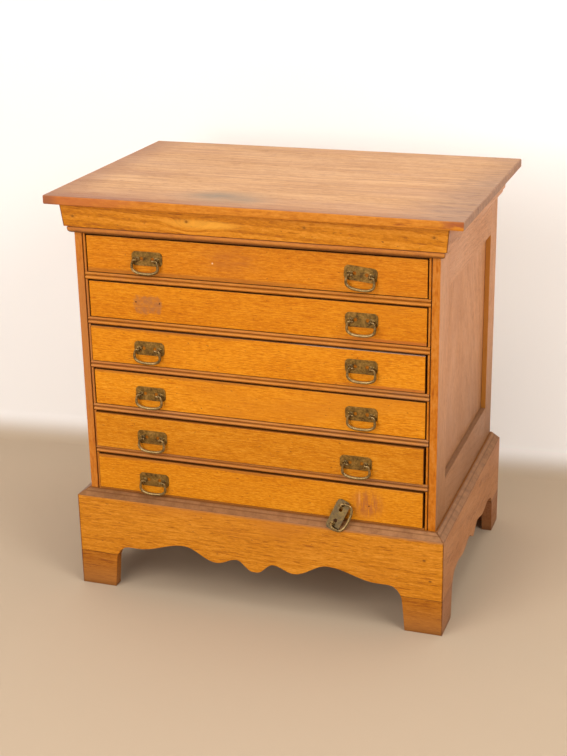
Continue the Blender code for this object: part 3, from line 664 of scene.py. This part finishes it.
def plinth_oak(name, tones, along, face, seed):
    """Coarse streaks. The sloping top is greyed, and the feet below the joint line are darker blocks."""
    oak = Oak(name, tones, along, face, seed, (-0.02, 0.15), 0.03, 0.0055, rings=0.09, streaks=0.95, dashes=0.30,
              flecks=1.5, wander=0.005)
    x, _, z = oak.split(oak.place)
    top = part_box(name[:-len("_oak")])[1].z
    ledge = oak.smooth(oak.split(oak.facing)[2], 0.3, 0.7)
    grime = oak.ramp(oak.noise(oak.place, (60.0, 60.0, 60.0), 4.0, 0.7),
                     ((0.35, (0.20, 0.090, 0.036)), (0.65, (0.34, 0.160, 0.066))))
    oak.tinted(oak.times(ledge, 0.88), oak.mix(oak.smooth(x, -0.1, 0.25, 1.0, 0.0), grime, (0.78, 0.76, 0.74), "MULTIPLY"))
    # Painted shade: the flat strip behind the lowest drawer is dark brown like the gap above it.
    flat = oak.times(oak.smooth(oak.split(oak.facing)[2], 0.85, 0.98), oak.smooth(z, top - 0.0004, top - 0.0001))
    oak.tinted(oak.times(flat, 0.8), BROWN_SHADE_AND_DIRT)
    # Painted shade: dark lines along the ledge's edges and creases.
    for below, half in ((0.0, 0.0010), (0.0040, 0.0006), (0.0097, 0.0005)):
        line = oak.smooth(oak.math("ABSOLUTE", oak.math("SUBTRACT", z, top - below)), half*0.5, half*1.5, 0.5, 0.0)
        oak.tinted(oak.times(line, ledge), GAP_SHADE_AND_DIRT)
    if along == "x":
        oak.dirty_corner(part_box(name[:-len("_oak")]))
        worn_face(oak, top - 0.0097, oak.math("SUBTRACT", 1.0, ledge))
    oak.darkened(oak.times(oak.smooth(z, 0.0595, 0.0600, 1.0, 0.0), oak.smooth(x, -0.2, 0.2, 0.52, 0.40)),
                 (0.42, 0.28, 0.40))
    oak.tinted(oak.smooth(z, 0.0, 0.060, 0.55, 0.0), (0.30, 0.120, 0.034))
    line = oak.smooth(oak.math("ABSOLUTE", oak.math("SUBTRACT", z, 0.0600)), 0.0003, 0.0009, 1.0, 0.0)
    oak.darkened(oak.times(line, 0.75), (0.15, 0.10, 0.08))
    oak.darkened(oak.smooth(z, 0.0, 0.012, 0.5, 0.0))
    return oak.done(specular=0.22)


def worn_face(oak, edge, upright):
    """The upright face of a plinth board: its upper edge worn dull towards the right, and its dents dark."""
    x, _, z = oak.split(oak.place)
    ragged = oak.noise(oak.place, (60.0, 60.0, 220.0), 3.0, 0.65)
    height = oak.plus(z, oak.times(oak.math("SUBTRACT", ragged, 0.5), 0.006))
    dull = oak.times(oak.smooth(height, edge - 0.0050, edge - 0.0005), oak.smooth(x, -0.30, 0.25, 0.15, 0.85))
    oak.tinted(oak.times(dull, upright), (0.37, 0.150, 0.050))
    oak.darkened(1.0, (0.955, 0.965, 1.0))
    for dent_x, dent_z in PLINTH_DENTS:
        oak.tinted(oak.times(oak.spot((dent_x, CASE_FRONT - 0.018, dent_z), (0.0042, 0.02, 0.0026), 0.8), 0.8), GAP_SHADE_AND_DIRT)


def divider_oak(number):
    """Honey brown beads, pale on their upper rounds as a painted highlight, dull pink in patches and raw behind."""
    oak = Oak(f"drawer_divider_{number}_oak", BEAD_OAK, "x", "y", 20.0 + number, (0.0, 0.05), 0.0, 0.002,
              streaks=1.1, dashes=0.25, flecks=0.8, wander=0.002)
    x, y, z = oak.split(oak.place)
    low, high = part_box(f"drawer_divider_{number}")
    patches = oak.noise(oak.place, (9.0, 9.0, 9.0), 3.0, 0.6)
    greyer = {3: (0.1, 0.6), 4: (0.45, 0.8), 5: (0.35, 0.65)}.get(number, (0.0, 0.0))
    left = oak.smooth(x, -0.26, 0.02, 0.55, 0.0)
    oak.tinted(oak.times(oak.smooth(patches, 0.36, 0.62), oak.plus(left, 0.15)), DULL_PINK)
    to_the_right = oak.smooth(x, 0.10, 0.19, *greyer)
    oak.tinted(oak.times(oak.smooth(patches, 0.42, 0.58, 0.5, 1.0), to_the_right), (0.33, 0.150, 0.062))
    up = oak.split(oak.facing)[2]
    # Painted highlight on upward faces.
    oak.tinted(oak.smooth(up, 0.15, 0.75, 0.0, 0.40), BEAD_OAK["light"])
    # Painted shade on downward faces.
    oak.darkened(oak.smooth(up, -0.75, -0.15, 0.35, 0.0))
    # Painted shade on faces set back from the beads' fronts, as in the grooves between them.
    oak.darkened(oak.smooth(y, low.y + 0.0016, low.y + 0.0030, 0.0, 0.25))
    oak.darkened(oak.smooth(z, low.z + 0.0045, low.z + 0.0075, 0.0, 0.18))
    # Painted shade: dark lines in the gaps above and below the rail, and dark in the gaps.
    oak.shade_and_joint_line(z, low.z, 0.0004, 0.5)
    oak.shade_and_joint_line(z, high.z, 0.0003, 0.15)
    oak.shade_the_gaps()
    oak.tinted(oak.smooth(y, low.y + 0.010, low.y + 0.014), RAW_WOOD["middle"])
    return oak.done(specular=0.2)


def side_oak(name, along, seed, rings=0.05):
    # The side oak's pinkish tone is a painted sheen.
    oak = Oak(name, SHEENED_SIDE_OAK, along, "x", seed, (0.02, 0.12), 0.04, 0.004, rings=rings, streaks=0.9, flecks=1.6,
              clouds=0.45, wander=0.005)
    side_shade(oak)
    if name.startswith("side_bottom_rail"):
        up = oak.smooth(oak.split(oak.facing)[2], 0.4, 0.8)
        oak.tinted(oak.times(up, 0.8), (0.21, 0.105, 0.050))
    if name.startswith("back_stile"):
        # Painted light: the back stile's reveal faces forwards and takes the orange of the lit front faces.
        reveal = oak.smooth(oak.split(oak.facing)[1], -0.8, -0.4, 1.0, 0.0)
        oak.tinted(oak.times(reveal, 0.85), (0.50, 0.195, 0.022))
    return oak.done(gloss=0.45)


def raw_wood(name, along, face, seed):
    return Oak(name, RAW_WOOD, along, face, seed, (0.02, 0.10), 0.03, 0.005, rings=0.20, streaks=1.0).done(gloss=0.7, specular=0.25)


def bottom_oak():
    """Raw, with a brown front edge."""
    oak = Oak("bottom_board_wood", RAW_WOOD, "x", "z", 17.0, (0.02, 0.10), 0.03, 0.005, rings=0.20, streaks=1.0)
    oak.tinted(oak.smooth(oak.split(oak.place)[1], CASE_FRONT + 0.012, CASE_FRONT + 0.020, 1.0, 0.0), BROWN_SHADE_AND_DIRT)
    return oak.done(gloss=0.7, specular=0.25)


def stile_oak(name, side, seed):
    """Painted light: orange where it faces forwards and browner with a pinkish sheen on the side. Painted shade in
    the groove beside its bead.
    """
    oak = Oak(name, SHEENED_SIDE_OAK, "z", "x", seed, (0.02, 0.12), 0.04, 0.004, rings=0.05, streaks=0.9, flecks=1.6,
              clouds=0.45, wander=0.005)
    side_shade(oak)
    low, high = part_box("front_stile_" + side)
    x, y, _ = oak.split(oak.place)
    outer = max(abs(low.x), abs(high.x))
    outwards = oak.math("ABSOLUTE", x)
    inner_side = oak.smooth(outwards, outer - 0.003, outer - 0.0005, 1.0, 0.0)
    forwards = oak.smooth(oak.math("ABSOLUTE", oak.split(oak.facing)[0]), 0.3, 0.8, 1.0, 0.0)
    front = oak.ramp(oak.darkness, ((0.05, BEAD_OAK["light"]), (0.5, HONEY["middle"]), (1.0, HONEY["dark"])))
    if side == "left":
        height = oak.plus(oak.split(oak.place)[2], oak.times(oak.math("SUBTRACT", oak.blotch, 0.5), 0.2))
        pink = oak.smooth(oak.math("ABSOLUTE", oak.math("SUBTRACT", height, 0.42)), 0.04, 0.16, 0.75, 0.25)
        front = oak.mix(pink, oak.mix(1.0, front, (0.90, 0.88, 0.9), "MULTIPLY"), (0.42, 0.150, 0.038))
    else:
        front = oak.mix(1.0, front, (0.84, 0.80, 0.80), "MULTIPLY")
    # Painted light: forward faces, and the inner side near the front, take the orange of the lit front.
    oak.tinted(oak.math("MAXIMUM", forwards, oak.times(inner_side, oak.smooth(y, low.y + 0.01, low.y + 0.02, 1.0, 0.0))),
               front)
    # Painted shade in the groove beside the bead.
    oak.tinted(oak.times(inner_side, oak.smooth(y, low.y + 0.0012, low.y + 0.0030), 0.85), GAP_SHADE_AND_DIRT)
    return oak.done(specular=0.22)


def side_shade(oak):
    """Painted shade: the side is browner and duller towards the floor."""
    z = oak.split(oak.place)[2]
    drift = oak.noise(oak.place, (3.0, 3.0, 5.0), 3.0)
    height = oak.plus(z, oak.times(oak.math("SUBTRACT", drift, 0.5), 0.12))
    oak.darkened(oak.smooth(height, 0.085, 0.45, 1.0, 0.0), (0.40, 0.38, 0.32))


def dress_wood():
    dressed("top_board", top_board_oak(), 0.0003)
    dressed("cornice_front", cornice_oak("cornice_front_oak", PLINTH_HONEY, "x", "y", 12.0))
    dressed("top_rail", cornice_oak("top_rail_oak", PLINTH_HONEY, "x", "y", 13.0))
    for number in range(1, 7):
        dressed(f"drawer_front_{number}", drawer_front_oak(number), 0.0002)
        dressed(f"drawer_tray_{number}", raw_wood(f"drawer_tray_{number}_wood", "y", "x", 30.0 + number), 0.0008)
    for number in range(1, 6):
        dressed(f"drawer_divider_{number}", divider_oak(number), 0.0002)
    dressed("plinth_front", plinth_oak("plinth_front_oak", PLINTH_HONEY, "x", "y", 14.0), 0.0008)
    dressed("plinth_back", plinth_oak("plinth_back_oak", SHADED_LOW_SIDE_OAK, "x", "y", 15.0), 0.0008)
    dressed("back_panel", raw_wood("back_panel_wood", "z", "y", 16.0))
    dressed("bottom_board", bottom_oak())
    for shift, side in enumerate(("left", "right")):
        seed = 18.0 + 10*shift
        dressed(f"cornice_{side}", cornice_oak(f"cornice_{side}_oak", SHEENED_SIDE_OAK, "y", "x", seed))
        dressed(f"plinth_{side}", plinth_oak(f"plinth_{side}_oak", SHADED_LOW_SIDE_OAK, "y", "x", seed + 1), 0.0008)
        dressed(f"front_stile_{side}", stile_oak(f"front_stile_{side}_oak", side, seed + 2), 0.0003)
        dressed(f"back_stile_{side}", side_oak(f"back_stile_{side}_oak", "z", seed + 3))
        dressed(f"side_top_rail_{side}", side_oak(f"side_top_rail_{side}_oak", "y", seed + 4))
        dressed(f"side_bottom_rail_{side}", side_oak(f"side_bottom_rail_{side}_oak", "y", seed + 5))
        dressed(f"side_panel_{side}", side_oak(f"side_panel_{side}_oak", "z", seed + 6, rings=0.07))


# Brass
def aged_brass(name, bare, olive, dark, rub):
    """Brass gone olive, with dark patches and bare metal where hands and the bail rub it."""
    brass = Finish(name)
    cloud = brass.plus(brass.times(brass.noise(brass.place, (80.0, 80.0, 80.0), 3.0, 0.6), 0.5),
                       brass.times(brass.noise(brass.place, (300.0, 300.0, 300.0), 3.0, 0.6), 0.5))
    speck = brass.noise(brass.place, (700.0, 700.0, 700.0), 3.0, 0.6)
    colour = brass.ramp(cloud, ((0.36, dark), (0.50, olive), (0.66, bare)))
    outwards = brass.smooth(brass.split(brass.facing)[2], -0.2, 0.9)
    rubbed = brass.times(brass.smooth(brass.plus(speck, brass.times(outwards, 0.25)), 0.52, 0.75), rub)
    colour = brass.mix(rubbed, colour, bare)
    brass.feed(brass.shader.inputs["Base Color"], colour)
    brass.shader.inputs["Metallic"].default_value = 0.7
    brass.feed(brass.shader.inputs["Roughness"],
               brass.plus(0.40, brass.times(rubbed, -0.14), brass.times(brass.math("SUBTRACT", cloud, 0.5), 0.3)))
    brass.bump(brass.plus(cloud, brass.times(speck, 0.4)), 0.0001, 0.35)
    return brass.material


# Handles
def cylinder(name, radius, depth, place, axis, vertices=24):
    turn = {"x": (0.0, math.pi/2, 0.0), "y": (math.pi/2, 0.0, 0.0), "z": (0.0, 0.0, 0.0)}[axis]
    bpy.ops.object.select_all(action="DESELECT")
    bpy.ops.mesh.primitive_cylinder_add(vertices=vertices, radius=radius, depth=depth, location=place, rotation=turn)
    return settled(newest(name))


def turned(name, profile, vertices=24):
    """A body turned about Y from pairs of radius and Y, drawn ring by ring from its open back end."""
    bpy.ops.object.select_all(action="DESELECT")
    radius, level = profile[0]
    bpy.ops.mesh.primitive_circle_add(vertices=vertices, radius=radius, fill_type="NGON",
                                      location=(0.0, level, 0.0), rotation=(math.pi/2, 0.0, 0.0))
    piece = settled(newest(name))
    bpy.ops.object.mode_set(mode="EDIT")
    bpy.ops.mesh.select_all(action="SELECT")
    for next_radius, next_level in profile[1:]:
        bpy.ops.mesh.extrude_region_move(TRANSFORM_OT_translate={"value": (0.0, next_level - level, 0.0)})
        share = next_radius/radius
        bpy.ops.transform.resize(value=(share, 1.0, share), center_override=(0.0, next_level, 0.0))
        radius, level = next_radius, next_level
    bpy.ops.object.mode_set(mode="OBJECT")
    return tidied(piece)


def post_profile():
    """Collar, neck and ball of a post."""
    face = -PLATE_THICK
    profile = [(NECK_RADIUS, face*0.5), (COLLAR_RADIUS, face*0.5 - 0.00001), (COLLAR_RADIUS, face - COLLAR_RISE*0.6),
               (COLLAR_RADIUS - 0.0004, face - COLLAR_RISE), (NECK_RADIUS + 0.0005, face - COLLAR_RISE - 0.0001),
               (NECK_RADIUS, face - COLLAR_RISE - 0.0006)]
    start = math.asin(NECK_RADIUS/EYE_RADIUS)
    for step in range(9):
        angle = math.pi - start - (math.pi - start - 0.18)*step/8
        profile.append((EYE_RADIUS*math.sin(angle), -EYE_OUT - EYE_RADIUS*math.cos(angle)))
    return profile


def nail_profile(shank):
    """Shank in the wood, then a domed head on the plate."""
    face = -PLATE_THICK
    profile = [(NAIL_RADIUS*0.6, shank), (NAIL_RADIUS, shank - 0.0004), (NAIL_RADIUS, face*0.5),
               (NAIL_HEAD_RADIUS, face*0.5 - 0.00001), (NAIL_HEAD_RADIUS, face - NAIL_HEAD_RISE*0.15)]
    for step in range(1, 5):
        angle = math.radians(80*step/4)
        profile.append((NAIL_HEAD_RADIUS*math.cos(angle), face - NAIL_HEAD_RISE*(0.15 + 0.85*math.sin(angle))))
    return profile


def flare(side):
    """Cone that opens the outer end of an eye, where the bail bends down."""
    depth = EYE_RADIUS
    bpy.ops.object.select_all(action="DESELECT")
    bpy.ops.mesh.primitive_cone_add(vertices=24, radius1=EYE_HOLE_RADIUS - 0.0001, depth=depth,
                                    radius2=EYE_HOLE_RADIUS + EYE_FLARE*depth,
                                    location=(side*(POST_SPACING/2 + depth/2), -EYE_OUT, -EYE_BELOW_CENTRE),
                                    rotation=(0.0, side*math.pi/2, 0.0))
    return settled(newest("flare"))


def plate_model(name, loose):
    """Pierced plate with its posts and nails."""
    bpy.ops.object.select_all(action="DESELECT")
    bpy.ops.mesh.primitive_cube_add(size=1.0, location=(0.0, -PLATE_THICK/2, 0.0))
    plate = newest(name)
    plate.scale = (PLATE_WIDTH, PLATE_THICK, PLATE_HEIGHT)
    edges_picked(settled(plate), lambda a, b: abs(a.y - b.y) > PLATE_THICK/2)
    bpy.ops.mesh.bevel(offset=PLATE_CORNER, segments=8)
    bpy.ops.object.mode_set(mode="OBJECT")
    holes = [cylinder("hole", PIERCED_RADIUS, 0.01, (side*PIERCED_SPACING/2, 0.0, 0.0), "y", 32) for side in (-1, 1)]
    if loose:
        holes.append(cylinder("hole", NAIL_RADIUS + 0.0003, 0.01, (NAIL_SPACING/2, 0.0, 0.0), "y"))
    combined(plate, holes, "DIFFERENCE")
    rounded(plate, PLATE_EDGE_ROUND, 2, 60.0)
    fittings = []
    for side in (-1, 1):
        post = turned("post", post_profile())
        points_picked(post, lambda co: co.y < -EYE_OUT + EYE_RADIUS)
        bpy.ops.transform.resize(value=(EYE_FLATNESS, 1.0, 1.0), center_override=(0.0, 0.0, 0.0))
        bpy.ops.object.mode_set(mode="OBJECT")
        post.data.transform(Matrix.Translation((side*POST_SPACING/2, 0.0, -EYE_BELOW_CENTRE)))
        eye = cylinder("eye", EYE_HOLE_RADIUS, 0.02, (side*POST_SPACING/2, -EYE_OUT, -EYE_BELOW_CENTRE), "x")
        fittings.append(combined(post, [eye, flare(side)], "DIFFERENCE"))
        if side == -1 or not loose:
            nail = turned("nail", nail_profile(LOOSE_SHANK if loose else SHANK), 16)
            nail.data.transform(Matrix.Translation((side*NAIL_SPACING/2, 0.0, 0.0)))
            fittings.append(nail)
    combined(plate, fittings, "UNION")
    for face in plate.data.polygons:
        x, y, z = face.center
        from_post = math.hypot(abs(x) - POST_SPACING/2, z + EYE_BELOW_CENTRE)
        face.material_index = int(y < -PLATE_THICK*1.02 and from_post < COLLAR_RADIUS*1.05)
    return smoothed(tidied(plate), 40.0)


def bail_path():
    """Half loop hung from two pins that point inwards through the eyes: points and their wire radius."""
    outer = POST_SPACING/2 + BAIL_BESIDE_POST
    turn = outer - BAIL_HOOK
    half = [Vector((POST_SPACING/2 - BAIL_PIN_REACH, 0, 0)), Vector((POST_SPACING/2, 0, 0))]
    for step in range(8):
        angle = math.radians(90 - 90*step/8)
        half.append(Vector((turn + BAIL_HOOK*math.cos(angle), 0, BAIL_SHOULDER*(math.sin(angle) - 1))))
    steps = 20
    for step in range(steps + 1):
        angle = math.radians(90*step/steps)
        spread = outer*max(math.cos(angle), 0.0)**BAIL_SQUARENESS
        fall = (BAIL_DROP - BAIL_SHOULDER)*math.sin(angle)**BAIL_SQUARENESS
        half.append(Vector((spread, 0, -BAIL_SHOULDER - fall)))
    path = [Vector((-p.x, 0, p.z)) for p in half[:-1]] + list(reversed(half))
    return [(p, BAIL_PIN_RADIUS + BAIL_SWELL*min(-p.z/BAIL_SHOULDER, 1.0) - BAIL_GRIP_SWELL*p.z/BAIL_DROP)
            for p in path]


def bail_model(name):
    """The bail as a round wire that swells towards the middle of its grip."""
    path = bail_path()
    bpy.ops.object.select_all(action="DESELECT")
    bpy.ops.curve.primitive_nurbs_path_add(location=(0.0, 0.0, 0.0))
    wire = newest(name)
    wire.data.splines.clear()
    spline = wire.data.splines.new("POLY")
    spline.points.add(len(path) - 1)
    for point, (place, radius) in zip(spline.points, path):
        point.co = (*place, 1.0)
        point.radius = radius
    wire.data.bevel_depth = 1.0
    wire.data.bevel_resolution = 4
    wire.data.use_fill_caps = True
    only(wire)
    bpy.ops.object.convert(target="MESH")
    return smoothed(tidied(rounded(tidied(newest(name)), 0.0003, 2, 60.0)), 50.0)


def handle_frame(joint):
    """Matrix of a handle from its bail's hinge. The loose one's hinge points the other way."""
    loose = joint["child"] == "bail_" + LOOSE_HANDLE
    along = Vector(joint["axis"])*(1 if loose else -1)
    into = Vector((0.0, -along.z, along.y))
    into = into.normalized() if into.length > 0.01 else Vector((0.0, 1.0, 0.0))
    if into.y < 0:
        into.negate()
    up = along.cross(into)
    hinge = Matrix((along, into, up)).transposed().to_4x4()
    hinge.translation = Vector(joint["pos_m"])
    return hinge


def handles():
    plate_brass = aged_brass("plate_brass", (0.38, 0.205, 0.046), (0.205, 0.108, 0.018), (0.075, 0.038, 0.010), 0.28)
    # Painted shade: the loose plate faces the lamps more than the others, so its brass is made darker.
    shaded_loose_brass = aged_brass("shaded_loose_brass", (0.150, 0.088, 0.020), (0.068, 0.038, 0.008), (0.026, 0.014, 0.004), 0.18)
    knob_brass = aged_brass("knob_brass", (0.34, 0.20, 0.06), (0.14, 0.080, 0.018), (0.055, 0.030, 0.009), 0.25)
    bail_brass = aged_brass("bail_brass", (0.42, 0.27, 0.11), (0.22, 0.135, 0.040), (0.095, 0.055, 0.018), 0.45)
    plates = {False: painted(plate_model("plate", False), plate_brass, knob_brass),
              True: painted(plate_model("loose_plate", True), shaded_loose_brass, knob_brass)}
    bail = painted(bail_model("bail"), bail_brass)
    for joint in frame["joints"]:
        if not joint["child"].startswith("bail_"):
            continue
        name = joint["child"][len("bail_"):]
        loose = name == LOOSE_HANDLE
        hinge = handle_frame(joint)
        plate = copied(plates[loose], f"plate_{name}", hinge @ Matrix.Translation((0.0, EYE_OUT, EYE_BELOW_CENTRE)))
        swing = Matrix.Rotation(math.radians(LOOSE_BAIL_SWING), 4, "X") if loose else Matrix()
        slid = Matrix.Translation((BAIL_PLAY.get(name, 0.0), 0.0, 0.0))
        grip = copied(bail, f"grip_{name}", hinge @ slid @ swing)
        for piece, node in ((plate, f"handle_plate_{name}"), (grip, f"bail_{name}")):
            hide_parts(node)
            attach(piece, BODY_OF[node])
    for model in (*plates.values(), bail):
        bpy.data.objects.remove(model)


# Nails in the cornice
def cornice_nails():
    """Round nail heads, almost flush with the sloping face of the cornice board."""
    low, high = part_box("cornice_front")
    iron = Finish("nail_iron")
    rust = iron.noise(iron.place, (900.0, 900.0, 900.0), 3.0)
    iron.feed(iron.shader.inputs["Base Color"], iron.ramp(rust, ((0.35, (0.24, 0.088, 0.010)), (0.7, (0.38, 0.140, 0.016)))))
    iron.shader.inputs["Specular IOR Level"].default_value = 0.1
    iron.feed(iron.shader.inputs["Roughness"], iron.smooth(rust, 0.3, 0.7, 0.5, 0.75))
    iron.bump(rust, 0.0001, 0.5)
    for number, (x, z) in enumerate(CORNICE_NAILS):
        profile = [(CORNICE_NAIL_RADIUS*0.8, 0.002), (CORNICE_NAIL_RADIUS, 0.0), (CORNICE_NAIL_RADIUS*0.7, -CORNICE_NAIL_RISE*0.8),
                   (CORNICE_NAIL_RADIUS*0.2, -CORNICE_NAIL_RISE)]
        nail = turned(f"cornice_nail_{number + 1}", profile, 16)
        share = (high.z - z)/(high.z - (low.z + 0.0115))
        y = low.y + (0.0155 - 0.012)*share
        nail.data.transform(Matrix.Translation((x, y, z)) @ Matrix.Rotation(math.atan2(0.0035, 0.0359), 4, "X"))
        smoothed(painted(nail, iron.material))
        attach(nail, "cabinet")


# Studio
def studio_sheet():
    """Floor that turns up into a wall behind the cabinet. Its back is clear, to look through from behind."""
    turn = Matrix.Rotation(math.radians(WALL_TURN), 4, "Z")
    bpy.ops.object.select_all(action="DESELECT")
    bpy.ops.mesh.primitive_plane_add(size=2*STUDIO_REACH, location=(0.0, -STUDIO_REACH, 0.0))
    sheet = settled(newest("studio_sheet"))
    edges_picked(sheet, lambda a, b: max(abs(a.y), abs(b.y)) < 0.001)
    bpy.ops.mesh.extrude_region_move(TRANSFORM_OT_translate={"value": (0.0, 0.0, STUDIO_REACH)})
    bpy.ops.object.mode_set(mode="OBJECT")
    edges_picked(sheet, lambda a, b: max(abs(a.y), abs(b.y), abs(a.z), abs(b.z)) < 0.001)
    bpy.ops.mesh.bevel(offset=COVE_RADIUS, segments=8)
    bpy.ops.object.mode_set(mode="OBJECT")
    sheet.data.transform(Matrix.Translation((*WALL_MIDDLE, 0.0)) @ turn)
    finish = Finish("studio_paper")
    height = finish.split(finish.place)[2]
    colour = finish.mix(finish.smooth(height, 0.0, COVE_RADIUS), FLOOR_COLOUR, WALL_COLOUR)
    finish.feed(finish.shader.inputs["Base Color"], colour)
    finish.shader.inputs["Roughness"].default_value = 0.8
    # Painted light: for camera rays the wall glows in its own colour, more to the right, where the cabinet's shadow
    # falls.
    seen = finish.add("LightPath", {}, output="Is Camera Ray")
    to_the_right = finish.smooth(finish.split(finish.place)[0], -0.2, 1.1, 0.13, 0.42)
    wall = finish.smooth(height, 0.0, COVE_RADIUS)
    finish.shader.inputs["Emission Color"].default_value = (*WALL_COLOUR, 1.0)
    finish.feed(finish.shader.inputs["Emission Strength"], finish.times(seen, to_the_right, wall))
    unseen = finish.tree.nodes.new("ShaderNodeBsdfTransparent").outputs[0]
    from_behind = finish.add("NewGeometry", {}, output="Backfacing")
    surface = finish.add("MixShader", {0: from_behind, 1: finish.shader.outputs[0], 2: unseen})
    finish.feed(finish.tree.nodes["Material Output"].inputs["Surface"], surface)
    smoothed(painted(sheet, finish.material), 40.0)


def aimed(thing, place, target):
    thing.location = place
    thing.rotation_euler = (Vector(target) - Vector(place)).to_track_quat("-Z", "Y").to_euler()


def light():
    world = bpy.data.worlds.new("studio_air")
    bpy.context.scene.world = world
    world.use_nodes = True
    air = world.node_tree.nodes["Background"]
    air.inputs["Color"].default_value = (1.0, 0.98, 0.96, 1.0)
    air.inputs["Strength"].default_value = WORLD_LIGHT
    for name, place, size, power in LAMPS:
        lamp = bpy.data.lights.new(name, "AREA")
        lamp.shape = "DISK"
        lamp.size = size
        lamp.energy = power
        holder = bpy.data.objects.new(name, lamp)
        bpy.context.scene.collection.objects.link(holder)
        aimed(holder, place, LAMP_TARGET)


def camera():
    yaw, pitch, roll = (math.radians(a) for a in (CAMERA_YAW, CAMERA_PITCH, CAMERA_ROLL))
    ahead = Vector((-math.sin(yaw)*math.cos(pitch), math.cos(yaw)*math.cos(pitch), -math.sin(pitch)))
    level = Vector((math.cos(yaw), math.sin(yaw), 0.0))
    above = level.cross(ahead)
    right = math.cos(roll)*level + math.sin(roll)*above
    up = -math.sin(roll)*level + math.cos(roll)*above
    lens = bpy.data.cameras.new("camera")
    lens.sensor_fit = "VERTICAL"
    lens.sensor_height = SENSOR_HEIGHT
    lens.lens = FOCAL_PIXELS/PICTURE_HEIGHT*SENSOR_HEIGHT
    eye = bpy.data.objects.new("camera", lens)
    bpy.context.scene.collection.objects.link(eye)
    turn = Matrix((right, up, -ahead)).transposed()
    eye.matrix_world = Matrix.Translation(CAMERA_PLACE) @ turn.to_4x4()
    bpy.context.scene.camera = eye


dress_wood()
handles()
cornice_nails()
studio_sheet()
light()
camera()
bpy.context.scene.view_settings.view_transform = "Standard"
